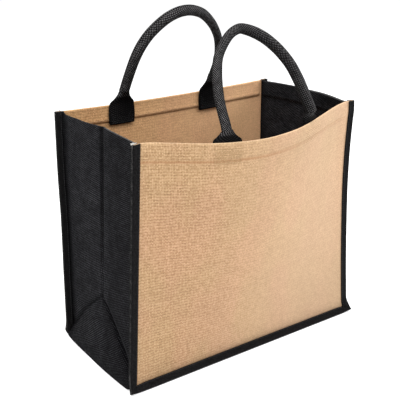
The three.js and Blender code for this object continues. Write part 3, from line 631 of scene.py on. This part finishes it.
def handlePiece(side, finishes):
    form = handleForms[side]
    rows = np.array(form["rows"], float)
    fine, places = smoothPath(archPoint(form, rows[:, 0], rows[:, 1]))
    length = runLength(fine)
    at = np.linspace(0, length[-1], round(length[-1] / handleForms["step"]) + 1)
    centre = np.stack([np.interp(at, length, fine[:, k]) for k in range(3)], -1)
    tangent = unit(np.gradient(centre, axis=0))
    girth = np.interp(np.interp(at, length, places), np.arange(len(rows)), rows[:, 2])
    sideways = unit(np.cross(unit(np.array([0, -1, form["lean"]])), tangent))
    through = np.cross(tangent, sideways)
    a, b = (shape[None, :, None] for shape in ringShape(2, handleForms["points"]))
    half = girth[:, None, None] / 2
    tube = centre[:, None] + sideways[:, None] * (a * half) + through[:, None] * (b * half)
    first = footRings(side, form["feet"][0], centre[0], rows[0, 1], girth[0], -1)
    second = footRings(side, form["feet"][1], centre[-1], rows[-1, 1], girth[-1], 1)
    rings = np.array([*first, *tube, *second[::-1]])
    total, around = rings.shape[:2]
    gaps = np.linalg.norm(np.roll(rings, -1, 1) - rings, axis=2)
    whole = gaps.sum(1, keepdims=True)
    place = np.cumsum(gaps, 1) - gaps / 2 - 0.25 * whole  # round the cover, from its outer side
    cloth = spread(place, runLength(rings.mean(1))[:, None], whole)
    at = np.arange(total * around).reshape(total, around)
    fan = np.array([(0, i, i + 1) for i in range(1, around - 1)])
    faces = np.concatenate([ringFaces(at), at[0][fan[:, ::-1]], at[-1][fan]])
    return meshPiece(side + "Handle", rings.reshape(-1, 3), faces, cloth.reshape(-1, 3), finishes)


class Wire:
    # One socket of a node tree. Sums written on it add the Math nodes that they need.
    def __init__(self, nodes, socket):
        self.nodes, self.socket = nodes, socket

    def maths(self, operation, *others):
        return self.nodes.add("ShaderNodeMath", {"operation": operation}, dict(enumerate([self, *others])))

    def __add__(self, other): return self.maths("ADD", other)
    def __radd__(self, other): return self.maths("ADD", other)
    def __sub__(self, other): return self.maths("SUBTRACT", other)
    def __mul__(self, other): return self.maths("MULTIPLY", other)
    def __rmul__(self, other): return self.maths("MULTIPLY", other)
    def __truediv__(self, other): return self.maths("DIVIDE", other)
    def __pow__(self, other): return self.maths("POWER", other)
    def __abs__(self): return self.maths("ABSOLUTE")

    def __rsub__(self, other):
        return self.nodes.add("ShaderNodeMath", {"operation": "SUBTRACT"}, {0: other, 1: self})

    def floor(self): return self.maths("FLOOR")
    def fract(self): return self.maths("FRACT")
    def positive(self): return self.maths("MAXIMUM", 0.0)
    def wave(self): return (self * 2 * math.pi).maths("COSINE")
    def fromMiddle(self): return abs(self.fract() * 2 - 1)  # 1 at whole numbers, 0 half way

    def between(self, low, high, start=0.0, stop=1.0):  # eased from start to stop
        sockets = {"Value": self, "From Min": low, "From Max": high, "To Min": start, "To Max": stop}
        return self.nodes.add("ShaderNodeMapRange", {"interpolation_type": "SMOOTHSTEP"}, sockets)

    def blended(self, a, b):  # plain numbers, not colours
        return self.nodes.add("ShaderNodeMix", {"data_type": "FLOAT"}, {0: self, 2: a, 3: b})

    def coloured(self, look):
        return self.nodes.mixed(self, linear(*look["dark"]), linear(*look["light"]))

    def toward(self, share, rgb):
        return self.nodes.mixed(share, self, linear(*rgb))

    def tinted(self, tint):
        return self.nodes.mixed(1.0, self, (*tint, 1.0), "MULTIPLY")

    def shaded(self, value):
        grey = self.nodes.add("ShaderNodeCombineColor", None, {0: value, 1: value, 2: value})
        return self.nodes.mixed(1.0, self, grey, "MULTIPLY")

    def mottled(self, x, y, scale, amount):
        cloud = self.nodes.patches(x, y, 3.0, scale, 3.0)
        return self.shaded(cloud.between(0.3, 0.7, 1 - amount, 1 + amount))

    def parts(self):
        self.nodes.add("ShaderNodeSeparateXYZ", None, {0: self})
        return [Wire(self.nodes, self.nodes.last.outputs[k]) for k in range(3)]


class Nodes:
    # A node tree. add makes any node from its type, its settings and its sockets.
    def __init__(self, tree):
        self.tree = tree
        tree.nodes.clear()

    def add(self, kind, settings=None, sockets=None, output=0):
        node = self.last = self.tree.nodes.new(kind)
        for key, value in (settings or {}).items():
            setattr(node, key, value)
        for key, value in (sockets or {}).items():
            if isinstance(value, Wire):
                self.tree.links.new(value.socket, node.inputs[key])
            else:
                node.inputs[key].default_value = value
        return Wire(self, node.outputs[output]) if len(node.outputs) else None

    def mixed(self, factor, a, b, how="MIX"):
        return self.add("ShaderNodeMix", {"data_type": "RGBA", "blend_type": how}, {0: factor, 6: a, 7: b}, 2)

    def vector(self, x, y, z=0.0):
        return self.add("ShaderNodeCombineXYZ", None, {"X": x, "Y": y, "Z": z})

    def noise(self, place, scale, detail=2.0):
        sockets = {"Vector": place, "Scale": scale, "Detail": detail}
        return self.add("ShaderNodeTexNoise", None, sockets, "Fac")

    def patches(self, x, y, seed, scale=1.0, detail=2.0):
        return self.noise(self.vector(x, y, seed), scale, detail)

    def chance(self, x, y, seed):
        return self.add("ShaderNodeTexWhiteNoise", None, {"Vector": self.vector(x, y, seed)}, "Value")


# Stitches: one small lozenge of thread repeated along sewn lines.
stitching = {"pitch": 3.5, "length": 2.9, "thick": 0.8, "wander": 0.12, "around": 8, "rings": 5, "seed": 4,
             "shortest": 0.85, "longest": 1.12, "above": 0.1}


def stitchTree():
    tree = bpy.data.node_groups.new("stitchRow", "GeometryNodeTree")
    inputs = {"Geometry": "Geometry", "Pitch": "Float", "Length": "Float", "Thickness": "Float",
              "Wander": "Float", "Seed": "Int", "Thread": "Material"}
    for name, kind in inputs.items():
        tree.interface.new_socket(name=name, in_out="INPUT", socket_type="NodeSocket" + kind)
    tree.interface.new_socket(name="Geometry", in_out="OUTPUT", socket_type="NodeSocketGeometry")
    nodes = Nodes(tree)
    nodes.add("NodeGroupInput")
    given = {socket.name: Wire(nodes, socket) for socket in nodes.last.outputs if socket.name}
    line = nodes.add("GeometryNodeMeshToCurve", None, {"Mesh": given["Geometry"]})
    line = nodes.add("GeometryNodeResampleCurve", {"mode": "LENGTH"}, {
        "Curve": line, "Length": given["Pitch"]})
    low, top = (nodes.vector(reach, reach, reach) for reach in (given["Wander"] * -1.0, given["Wander"]))
    moved = nodes.add("FunctionNodeRandomValue", {"data_type": "FLOAT_VECTOR"}, {
        0: low, 1: top, "Seed": given["Seed"]})
    line = nodes.add("GeometryNodeSetPosition", None, {"Geometry": line, "Offset": moved})
    way = nodes.add("GeometryNodeInputTangent")
    turn = nodes.add("FunctionNodeAlignRotationToVector", {"axis": "X"}, {"Vector": way})
    sizes = nodes.add("FunctionNodeRandomValue", {"data_type": "FLOAT"}, {
        2: stitching["shortest"], 3: stitching["longest"], "Seed": given["Seed"]}, 1)
    size = nodes.vector(given["Length"] * sizes, given["Thickness"] * sizes, given["Thickness"])
    stitch = nodes.add("GeometryNodeMeshUVSphere", None, {
        "Segments": stitching["around"], "Rings": stitching["rings"], "Radius": 0.5})
    turned = nodes.add("GeometryNodeTransform", None, {"Geometry": stitch, "Rotation": (0, math.pi / 2, 0)})
    many = nodes.add("GeometryNodeInstanceOnPoints", None, {
        "Points": line, "Instance": turned, "Rotation": turn, "Scale": size})
    solid = nodes.add("GeometryNodeRealizeInstances", None, {"Geometry": many})
    painted = nodes.add("GeometryNodeSetMaterial", None, {"Geometry": solid, "Material": given["Thread"]})
    nodes.add("NodeGroupOutput", None, {"Geometry": painted})
    return tree


def stitchRows(name, lines, thread, look=stitching):
    # Each line is a list of points in millimetres; the result is one plain mesh.
    points, edges = [], []
    for line in lines:
        first = len(points)
        points += toScene(line).tolist()
        edges += [(k, k + 1) for k in range(first, len(points) - 1)]
    guide = bpy.data.meshes.new(name + "Guide")
    guide.from_pydata(points, edges, [])
    guideObject = addObject(name + "Guide", guide)
    rows = guideObject.modifiers.new("stitches", "NODES")
    rows.node_group = rowTree
    values = {"Pitch": look["pitch"] * mm, "Length": look["length"] * mm, "Thickness": look["thick"] * mm,
              "Wander": look["wander"] * mm, "Seed": look["seed"], "Thread": thread}
    for socket in rowTree.interface.items_tree:
        if socket.in_out == "INPUT" and socket.name in values:
            rows[socket.identifier] = values[socket.name]
    evaluated = guideObject.evaluated_get(bpy.context.evaluated_depsgraph_get())
    mesh = bpy.data.meshes.new_from_object(evaluated)
    bpy.data.objects.remove(guideObject)
    mesh.name = name
    piece = addPiece(name, mesh)
    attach(piece, "root")
    return piece


def straightRun(a, b, step=2.0):
    return np.linspace(a, b, max(2, round(np.linalg.norm(np.subtract(b, a)) / step) + 1))


def panelLine(side, places, inner=False):
    run, rise = places.T
    out = halfCloth + stitching["above"]
    return onPanel(side, run, rise, -(out + pattern["hemExtra"]) if inner else out)


def hemLines(side):
    places = straightRun((5, stitchLine), (wide - 5, stitchLine), 3.0)
    return [panelLine(side, places), panelLine(side, places, True)]


def gussetHemLines():
    lines = []
    for row in np.flatnonzero(abs(gussetLevels["rise"] - stitchLine) < 0.01):
        above = gussetLevels["outward"][row] * stitching["above"]
        lines += [(gussetLevels["outer"][row] - above)[7:-7], (gussetLevels["inner"][row] + above)[7:-7]]
    return lines


tabStitch = {"half": 18.5, "shorter": 1.4, "low": 27.5, "top": 8.5, "rows": 8, "above": 0.05}


def tabLines(side, inner):
    # Close rows of stitches, one below the other, hold each foot of a handle to the hem.
    left, right = (panelPoint(side, end, high)[0] for end in (0, 1))
    thick = handleForms["footRows"][0][2] * 2
    lines = []
    for foot in handleForms[side]["feet"]:
        middle = (foot[0] - left) / (right - left) * wide
        levels = np.linspace(high - tabStitch["low"], high - tabStitch["top"], tabStitch["rows"])
        for k, level in enumerate(levels):
            reach = tabStitch["half"] - (0 if k % 2 else tabStitch["shorter"])
            places = straightRun((middle - reach, level), (middle + reach, level))
            if inner:
                share = places[:, 0] / wide
                lift = -(footInside + thick + tabStitch["above"])
                lines.append(panelPoint(side, share, level) + panelNormal(side, share, high - 2) * lift)
            else:
                lines.append(panelLine(side, places))
    return lines


tapeStitch = {"fromLeaf": 0.15, "above": 0.12}


def bindingLines(side):
    stations = seamStations(side, tapeRises, tapeRuns)
    above = tape["thick"] + tapeStitch["above"]
    lines = []
    for share, level in ((tape["outerLeaf"], tapeOut + above), (tape["innerLeaf"], -tapeIn - above)):
        share += tapeStitch["fromLeaf"]
        lines.append(stations["seam"] + stations["fin"] * share + stations["face"] * level)
    return lines


# Pale threads stand out of the tape's cut end at the front left corner.
fraying = {"pitch": 8.0, "length": 2.9, "thick": 0.7, "wander": 0.05, "seed": 9, "count": 60,
           "from": (0.45, -3.9), "to": (0.99, -1.0), "rise": 0.4, "lean": 0.6}


def frayLines(side):
    stations = seamStations(side, tapeRises, tapeRuns)
    seam, fin, face = (stations[key][0] for key in ("seam", "fin", "face"))
    chance = np.random.default_rng(fraying["seed"])
    lines = []
    for _ in range(fraying["count"]):
        share, level = (chance.uniform(a, b) for a, b in zip(fraying["from"], fraying["to"]))
        foot = seam + fin * share + face * level
        lean = np.array([*chance.uniform(-fraying["lean"], fraying["lean"], 2), 1.0])
        lines.append(np.array([foot, foot + lean * fraying["rise"]]))
    return lines


def linear(*rgb):  # colour, from 0 to 255
    values = [c / 255 for c in rgb]
    return tuple(c / 12.92 if c <= 0.04045 else ((c + 0.055) / 1.055) ** 2.4 for c in values) + (1.0,)


def newFinish(name):
    material = bpy.data.materials.new(name)
    material.use_nodes = True
    return material, Nodes(material.node_tree)


def closeFinish(nodes, colour, height, look):
    bump = nodes.add("ShaderNodeBump", None, {"Strength": 1.0, "Distance": look["relief"], "Height": height})
    sockets = {"Base Color": colour, "Roughness": look["roughness"], "Normal": bump,
               "Specular IOR Level": look.get("gloss", 0.12), "Sheen Weight": 0.0, "Sheen Roughness": 0.5}
    sockets.update(look.get("sheen", {}))
    surface = nodes.add("ShaderNodeBsdfPrincipled", None, sockets)
    nodes.add("ShaderNodeOutputMaterial", None, {"Surface": surface})


def clothPlace(nodes):
    return nodes.add("ShaderNodeAttribute", {"attribute_name": "cloth"}, None, "Vector").parts()


# Sizes are in metres of cloth. Four numbers in a row are a range: from, to, value there, value here.
juteLook = {
    "pitch": 0.0021, "wander": 0.0014, "relief": 0.0003, "pair": (0.06, 0.16), "gap": (90, 62, 38),
    "dark": (155, 122, 89), "light": (198, 164, 130), "warpLift": 0.06, "mottle": 0.03, "each": 0.6,
    "roughness": 0.92, "upThick": (0.93, 1.06), "acrossThick": (0.74, 0.98),
    "sheen": {"Sheen Weight": 0.08, "Sheen Tint": (1.0, 0.9, 0.75, 1.0)},
    "gapShadeLeft": (0.05, 0.3, 1.0, 0.3), "open": (0.42, 0.64),
    "rowGap": (0.0, 0.34, 1.0, 0.0), "rowGapShare": 0.55,
    "blush": (0.38, 0.62), "straw": (0.985, 1.004, 0.955), "pink": (1.024, 0.984, 0.99),
    "paintedLight": (203, 175, 147), "paintedLightRight": (0.04, 0.34, 0.0, 0.42),
    "shadeLow": (0.0, 0.22, 0.92, 1.0), "shadeLowRight": (0.15, 0.36, 0.0, 0.07),
    "atBase": (0.0, 0.2, 1.0, 0.0),
    "speck": (112, 78, 48), "speckled": (0.66, 0.72, 0.0, 0.5), "hemEdge": (240, 214, 180), "hemEdgeLight": 0.25,
    "hemFold": (152, 108, 74), "hemFoldShade": (0.0, 0.0036, 0.5, 0.0), "hemFoldFades": (0.14, 0.3, 1.0, 0.3),
    "inside": (1.3, 1.16, 1.0),
}
darkJuteLook = {
    "pitch": 0.0018, "wander": 0.0008, "relief": 0.0003, "pair": (0.0, 0.0), "gap": (2, 2, 2),
    "dark": (2, 2, 2), "light": (32, 32, 35), "warpLift": 0.0, "mottle": 0.07, "each": 0.5,
    "roughness": 0.88, "gloss": 0.03, "upThick": (0.93, 1.06), "acrossThick": (0.74, 0.98),
    "repeat": (0.0048, 0.0027), "fleckGlint": (112, 112, 116), "fleckShare": 0.62,
    "drift": 1.3, "knot": (0.2, 0.85), "patchy": (0.32, 0.6, 0.6, 1.0), "fleckEach": (0.1, 0.9, 0.35, 1.0),
    "foldLight": (60, 60, 62), "foldLightFrom": (-0.001, 0.001), "foldLightTo": (0.003, 0.009, 1.0, 0.0),
    "frontSide": (-0.004, 0.002, 1.0, 0.0), "lowerShade": (0.05, 0.33, 1.0, 0.84),
    "underV": (-0.001, 0.001, 1.0, 0.0), "tucked": (-0.022, -0.002, 0.0, 0.4),
    "sunk": (0.001, 0.008, 0.45, 0.0), "shadeByBackTape": (0.001, 0.016, 0.5, 1.0),
    "creaseShade": (0.0015, 0.0075, 0.35, 1.0), "creaseFades": (0.1, 0.24),
    "backHalfShade": (-0.022, -0.008, 0.73, 1.0), "edgeLight": (96, 96, 96), "edgeLightBand": (0.0002, 0.001, 0.6, 0.0),
    "edgeLightFront": (0.086, 0.096, 1.0, 0.2),
}


def plainWeave(nodes, x, y, look):
    # One thread over, one under, lying in slight pairs. Gives the height, the share of gap,
    # whether the upright thread is on top, and a tone for each thread, crossing and fibre.
    wanderX, wanderY = ((nodes.patches(x, y, z, 26.0) - 0.5) * look["wander"] * 3 for z in (0.0, 0.7))
    u, v = (x + wanderX) / look["pitch"], (y + wanderY) / look["pitch"]
    iu, iv = u.floor(), v.floor()
    pairU, pairV = (((i * 0.5).fract() * 4 - 1) * pair for i, pair in zip((iu, iv), look["pair"]))
    du, dv = abs((u - iu) * 2 - 1 + pairU), abs((v - iv) * 2 - 1 + pairV)
    upOver = ((iu + iv) * 0.5).fract().maths("GREATER_THAN", 0.25)
    upTone, acrossTone = nodes.patches(iu * 3.71, v * 0.11, 1.5), nodes.patches(u * 0.09, iv * 3.71, 7.5)
    upThick = nodes.patches(iu * 2.13, v * 0.3, 4.5, 1.0, 1.0).between(0.3, 0.7, *look["upThick"])
    acrossThick = nodes.patches(u * 0.3, iv * 2.13, 9.5, 1.0, 1.0).between(0.3, 0.7, *look["acrossThick"])
    upRound = (1 - (du / upThick) ** 2).positive()
    acrossRound = (1 - (dv / acrossThick) ** 2).positive()
    upHeight = upRound * (0.35 + 0.65 * (upOver * (1 - dv * dv).positive()))
    acrossHeight = acrossRound * (0.35 + 0.65 * ((1 - upOver) * (1 - du * du).positive()))
    height = upHeight.maths("MAXIMUM", acrossHeight)
    upOnTop = (upHeight - acrossHeight).between(-0.08, 0.08)
    streak = upOnTop.blended(nodes.patches(u * 1.3, v * 9.0, 5.2), nodes.patches(u * 9.0, v * 1.3, 2.2))
    # The gap share marks where the finishes paint shade between the threads.
    gap = height.between(0.02, 0.34, 1.0, 0.0) * nodes.patches(u * 0.6, v * 0.6, 3.3).blended(-0.5, 2.0)
    tone = 0.5 + (upOnTop.blended(acrossTone, upTone) - 0.5) * 0.6 + look["warpLift"] * (upOnTop - 0.5) * 2
    tone = tone + (streak - 0.5) * 0.7 + (nodes.chance(iu, iv, 2.0) - 0.5) * look["each"]
    height = height + streak * 0.12
    # Painted shade: each thread is darker on its low sides.
    tone = tone * height.between(0.1, 0.75, 0.6, 1.0)
    return {"height": height, "gap": gap, "u": u, "v": v, "colour": tone.positive().coloured(look)}


def juteFinish():
    look = juteLook
    material, nodes = newFinish("juteWeave")
    x, y, z = clothPlace(nodes)
    weave = plainWeave(nodes, x, y, look)
    gapShadeLeft = x.between(*look["gapShadeLeft"])
    openness = nodes.patches(weave["u"] * 0.3, (weave["v"].floor() * 0.5).floor() * 1.9, 12.0, 1.0, 3.0)
    rowGap = ((weave["v"] + 1.0) * 0.5).fromMiddle().between(*look["rowGap"])
    rowGap = rowGap * openness.between(*look["open"])
    # Painted shade in the gaps between threads and between rows, strongest toward the left end.
    colour = weave["colour"].toward((weave["gap"] * gapShadeLeft).positive(), look["gap"])
    colour = colour.toward(rowGap * gapShadeLeft * look["rowGapShare"], look["gap"])
    colour = colour.mottled(x, y, 14.0, look["mottle"])
    blush = nodes.patches(x, y * 0.45, 8.0, 17.0, 1.0).between(*look["blush"])
    colour = nodes.mixed(blush, colour.tinted(look["straw"]), colour.tinted(look["pink"]))
    # Painted light: the cloth turns paler toward the right end, where more light falls.
    colour = colour.toward(x.between(*look["paintedLightRight"]), look["paintedLight"])
    # Painted shade: darker toward the bottom, and more so at the lower right.
    atCorner = x.between(*look["shadeLowRight"]) * y.between(*look["atBase"])
    colour = colour.shaded(y.between(*look["shadeLow"]) - atCorner)
    colour = colour.toward(nodes.patches(x, y, 5.0, 620.0, 1.0).between(*look["speckled"]), look["speck"])
    # A pale line along the folded top edge: painted highlight, with some edge wear.
    hemTop = y.between((high - 1.0) * mm, (high - 0.1) * mm)
    colour = colour.toward(hemTop * look["hemEdgeLight"], look["hemEdge"])
    hemFold = abs(y - (hemLine + 0.2) * mm).between(*look["hemFoldShade"])
    colour = colour.toward(hemFold * x.between(*look["hemFoldFades"]), look["hemFold"])
    colour = nodes.mixed(z.between(0.4, 0.6), colour, colour.tinted(look["inside"]))
    closeFinish(nodes, colour, weave["height"], look)
    return material


def darkJuteFinish():
    # Flecks on every second crossing, stepping aside row by row, give its fine slanting lines; they are light
    # fibres and in part painted highlights on the crossings.
    look = darkJuteLook
    depth, creaseX = deep * mm, creasePlace * deep * mm
    material, nodes = newFinish("darkJuteWeave")
    x, y, z = clothPlace(nodes)
    weave = plainWeave(nodes, x, y, look)
    # Painted shade in the gaps between threads.
    colour = weave["colour"].toward(weave["gap"].positive(), look["gap"])
    drift = (nodes.patches(x, y, 9.0, 34.0) - 0.5) * look["drift"]
    across, down = x / look["repeat"][0] + drift, y / look["repeat"][1] + drift
    chance = nodes.chance((across + down).floor(), (across - down).floor(), 2.0)
    patchy = nodes.patches(x, y, 6.0, 45.0).between(*look["patchy"])
    # How far a place is up the side, above the V and behind the centre crease.
    rise = high * mm - y.maths("MINIMUM", (2 * high + wide) * mm - y)
    fromTop = high * mm - rise
    slopeShare = (x / creaseX).maths("MINIMUM", (depth - x) / (depth - creaseX))
    fromFold = rise - (creaseEnd + (apexRise - creaseEnd) * slopeShare) * mm
    fromCrease = x - creaseX
    inFront = fromCrease.between(*look["frontSide"])
    # Painted highlight: a lighter band along the V fold, in front of the crease.
    foldLight = fromFold.between(*look["foldLightFrom"]) * fromFold.between(*look["foldLightTo"]) * inFront
    fleckGlint = (across.wave() * down.wave()).between(*look["knot"]) * patchy * chance.between(*look["fleckEach"])
    colour = colour.toward(fleckGlint * (1 - foldLight * 0.8) * look["fleckShare"], look["fleckGlint"])
    colour = colour.toward(foldLight * 0.5, look["foldLight"]).mottled(x, y, 16.0, look["mottle"])
    # Painted shade: darker low down, below the V and along the fold in front, beside the back tape, in the
    # crease and over the back half.
    tucked = fromFold.between(*look["underV"]) * fromFold.between(*look["tucked"])
    tucked = inFront.blended(abs(fromFold - 0.002).between(*look["sunk"]), tucked)
    creaseShade = abs(fromCrease - 0.002).between(*look["creaseShade"])
    creaseShade = fromTop.between(*look["creaseFades"]).blended(creaseShade, 1.0)
    shade = fromTop.between(*look["lowerShade"]) * (1 - tucked) * (depth - x).between(*look["shadeByBackTape"])
    colour = colour.shaded(shade * creaseShade * fromCrease.between(*look["backHalfShade"]))
    # Painted highlight, with some edge wear: a light grey line along the top edge of the front half.
    edgeLight = fromTop.between(*look["edgeLightBand"]) * x.between(*look["edgeLightFront"])
    closeFinish(nodes, colour.toward(edgeLight, look["edgeLight"]), weave["height"], look)
    return material


tapeLook = {
    "rib": 0.0016, "dark": (4, 4, 4), "light": (34, 33, 34), "relief": 0.0002, "roughness": 0.72,
    "edgeLightColour": (88, 87, 86), "edgeLightBand": (0.0004, 0.0024, 1.0, 0.0), "edgeLightEach": (0.2, 0.8, 0.3, 1.0),
    "patchy": (0.42, 0.66, 0.1, 0.5), "gloss": 0.03,
}
cutEndLook = {"dark": (16, 16, 17), "light": (84, 83, 80), "relief": 0.0003, "roughness": 0.9}


def tapeFinish():
    # A closely woven tape: fine ribs across it, and a painted highlight lightens its folded edge in patches.
    # z is the distance from that edge.
    look = tapeLook
    material, nodes = newFinish("bindingTape")
    x, y, z = clothPlace(nodes)
    u = x / look["rib"]
    v = y / (look["rib"] * 0.8) + u.floor() * 0.5
    du, dv = u.fromMiddle(), v.fromMiddle()
    height = (1 - du * du) * (0.5 + 0.5 * (1 - dv * dv))
    each = nodes.chance(u.floor(), v.floor(), 1.0)
    colour = (height * (0.5 + 0.5 * each)).between(0.1, 0.9).coloured(look)
    patchy = nodes.patches(x, y, 1.0, 90.0, 3.0).between(*look["patchy"])
    edgeLight = z.between(*look["edgeLightBand"]) * each.between(*look["edgeLightEach"]) * patchy
    closeFinish(nodes, colour.toward(edgeLight, look["edgeLightColour"]), height, look)
    return material


def cutEndFinish():  # the cut end of the folded tape, where single threads show
    material, nodes = newFinish("cutEnd")
    threads = nodes.noise(nodes.add("ShaderNodeTexCoord", None, None, "Object"), 1400.0)
    closeFinish(nodes, threads.between(0.35, 0.6).coloured(cutEndLook), threads, cutEndLook)
    return material


webbingLook = {
    "around": 14, "row": 0.0031, "relief": 0.0006, "dark": (2, 2, 2), "light": (42, 39, 41), "wander": 0.25,
    "glint": (226, 224, 224), "glintShare": 0.37, "glintEach": (0.1, 0.9, 0.45, 1.0), "roughness": 0.75,
    "gloss": 0.05, "paintedLight": (-1.0, 1.0, 0.42, 1.0), "foot": 0.34, "onTube": (0.049, 0.058, 1.0, 0.0),
    "mottle": (0.3, 0.7, 0.9, 1.1),
}


def webbingFinish():
    # A close woven cover with small raised knuckles, each row half a step aside of the next.
    look = webbingLook
    material, nodes = newFinish("handleWebbing")
    x, y, z = clothPlace(nodes)
    wander = (nodes.patches(x, y, 0.0, 70.0, 1.0) - 0.5) * look["wander"]
    u, v = x / z * look["around"] + wander, y / look["row"] + wander
    knuckle = u.wave() * v.wave()
    height = knuckle.between(-0.7, 0.9)
    each = nodes.chance((u + v).floor(), (u - v).floor(), 3.0)
    tone = height * (0.55 + 0.45 * each) * (0.6 + 0.8 * nodes.patches(u * 7.0, v * 1.5, 4.0))
    onTube = z.between(*look["onTube"])
    bright = knuckle.between(0.3, 0.9) * each.between(*look["glintEach"]) * (0.3 + 0.7 * onTube)
    colour = tone.coloured(look).toward(bright * look["glintShare"], look["glint"])
    cloud = nodes.patches(x, y, 2.0, 35.0, 3.0).between(*look["mottle"])
    # Painted light and shade: the outer side of the arch is lighter than its inner side, and its flattened
    # feet are the darkest.
    paintedLight = (x / z + 0.25).wave().between(*look["paintedLight"]) * onTube.blended(look["foot"], 1.0)
    closeFinish(nodes, colour.shaded(cloud * paintedLight), height, look)
    return material


threadLook = {"twist": 0.0009, "relief": 0.00012, "roughness": 0.65, "paintedLightAt": (-0.02, 0.04)}
threadColours = {  # dark, light and, for one, a paler colour painted in as light toward the bag's right
    "darkThread": [(20, 20, 22), (62, 62, 64)], "blackThread": [(8, 8, 9), (36, 36, 38)],
    "tanThread": [(158, 122, 88), (214, 182, 144)], "paleThread": [(176, 172, 164), (238, 236, 230)],
    "oliveThread": [(132, 108, 74), (186, 158, 116), (214, 186, 152)],
}


def threadFinish(name, dark, light, paintedLight=None):
    # Sewing thread: a slanting twist along every stitch. One given a third colour has painted light: it pales
    # toward the bag's right.
    material, nodes = newFinish(name)
    place = nodes.add("ShaderNodeTexCoord", None, None, "Object")
    x, y, z = place.parts()
    twist = ((x + y + z) / threadLook["twist"] * 2 * math.pi).maths("SINE")
    colour = (nodes.noise(place, 700.0) * 0.6 + twist * 0.2 + 0.2).coloured({"dark": dark, "light": light})
    if paintedLight:
        colour = colour.toward(x.between(*threadLook["paintedLightAt"]), paintedLight)
    closeFinish(nodes, colour, twist, threadLook)
    return material


print("finishes: jute, dark jute, tape, webbing, threads")
jute, darkJute = juteFinish(), darkJuteFinish()
tapeCloth, cutEnd, webbing = tapeFinish(), cutEndFinish(), webbingFinish()
darkThread, blackThread, tanThread, paleThread, oliveThread = (
    threadFinish(name, *colours) for name, colours in threadColours.items())

print("pieces: panels, gusset, bindings, handles")
panels = {side: panelPiece(side, [jute]) for side in panelForms}
gusset = gussetPiece([darkJute])
bindings = {side: bindingPiece(side, [tapeCloth, cutEnd]) for side in panelForms}
handles = {side: handlePiece(side, [webbing]) for side in panelForms}

print("stitches")
rowTree = stitchTree()
hemStitches = {side: stitchRows(side + "HemStitches", hemLines(side), tanThread)
               for side in panelForms}
gussetStitches = stitchRows("gussetHemStitches", gussetHemLines(), blackThread)
tapeStitches = {side: stitchRows(side + "BindingStitches", bindingLines(side), darkThread)
                for side in panelForms}
for side in panelForms:
    stitchRows(side + "TabStitches", tabLines(side, False), oliveThread)
    stitchRows(side + "FootStitches", tabLines(side, True), darkThread)
fray = stitchRows("frontBindingFray", frayLines("front"), paleThread, fraying)

for piece, node, slot in (
    (panels["front"], "front_panel", "jute"), (panels["back"], "back_panel", "jute"),
    (gusset, "gusset", "dark_jute"),
    (bindings["front"], "front_binding", "binding_tape"), (bindings["back"], "back_binding", "binding_tape"),
    (handles["front"], "front_handle", "handle_webbing"), (handles["back"], "back_handle", "handle_webbing"),
):
    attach(piece, "root")
    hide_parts(node)

for side in panelForms:
    side + "_binding"
for side, ends in (("front", [fray]), ("back", [])):
    side + "_panel"

# Camera where the photograph was taken from, for a square picture.
view = {"place": (-0.613467, -0.859029, 0.600667), "yaw": 0.597353, "pitch": 0.352263, "roll": -0.015063,
        "focal": 760.27, "picture": 400.0, "sensor": 36.0}


def addCamera():
    yaw, pitch, roll = view["yaw"], view["pitch"], view["roll"]
    look = Vector((math.sin(yaw) * math.cos(pitch), math.cos(yaw) * math.cos(pitch), -math.sin(pitch)))
    right = Vector((math.cos(yaw), -math.sin(yaw), 0))
    up = right.cross(look)
    x = right * math.cos(roll) + up * math.sin(roll)
    y = up * math.cos(roll) - right * math.sin(roll)
    data = bpy.data.cameras.new("photoCamera")
    data.sensor_width = view["sensor"]
    data.lens = view["focal"] / view["picture"] * view["sensor"]
    camera = addObject("photoCamera", data)
    camera.matrix_world = Matrix.Translation(view["place"]) @ Matrix((x, y, -look)).transposed().to_4x4()
    bpy.context.scene.camera = camera


studio = {
    "world": 0.4, "floor": 0.9, "glow": 0.62, "floorSize": 40.0, "aim": (0, 0, 0.2),
    "lamps": [  # name, place, power, size, colour
        ("keyLamp", (2.0, -1.5, 1.6), 31, 1.1, (0.95, 0.98, 1.03)),
        ("topLamp", (-0.2, -0.6, 2.1), 52, 1.6, (1.0, 1.0, 1.0)),
        ("sideLamp", (-2.2, -0.9, 1.3), 10, 1.6, (1.0, 1.0, 1.0)),
    ],
}


def addStudio():
    world = bpy.data.worlds.new("studioWorld")
    bpy.context.scene.world = world
    world.use_nodes = True
    back = world.node_tree.nodes["Background"]
    back.inputs["Color"].default_value = (1, 1, 1, 1)
    back.inputs["Strength"].default_value = studio["world"]
    for name, place, power, size, colour in studio["lamps"]:
        data = bpy.data.lights.new(name, "AREA")
        data.energy, data.size, data.color = power, size, colour
        direction = Vector(studio["aim"]) - Vector(place)
        turn = direction.to_track_quat("-Z", "Y").to_matrix().to_4x4()
        addObject(name, data).matrix_world = Matrix.Translation(place) @ turn
    half = studio["floorSize"] / 2
    mesh = bpy.data.meshes.new("floor")
    corners = [(-half, -half, 0), (half, -half, 0), (half, half, 0), (-half, half, 0)]
    mesh.from_pydata(corners, [], [(0, 1, 2, 3)])
    material, nodes = newFinish("paleFloor")
    surface = nodes.add("ShaderNodeBsdfPrincipled", None, {
        "Base Color": (studio["floor"],) * 3 + (1,), "Roughness": 0.9, "Specular IOR Level": 0.0,
        "Emission Color": (1, 1, 1, 1), "Emission Strength": studio["glow"]})
    nodes.add("ShaderNodeOutputMaterial", None, {"Surface": surface})
    mesh.materials.append(material)
    addObject("floor", mesh)


print("studio and camera")
addStudio()
addCamera()
bpy.context.scene.view_settings.view_transform = "Standard"
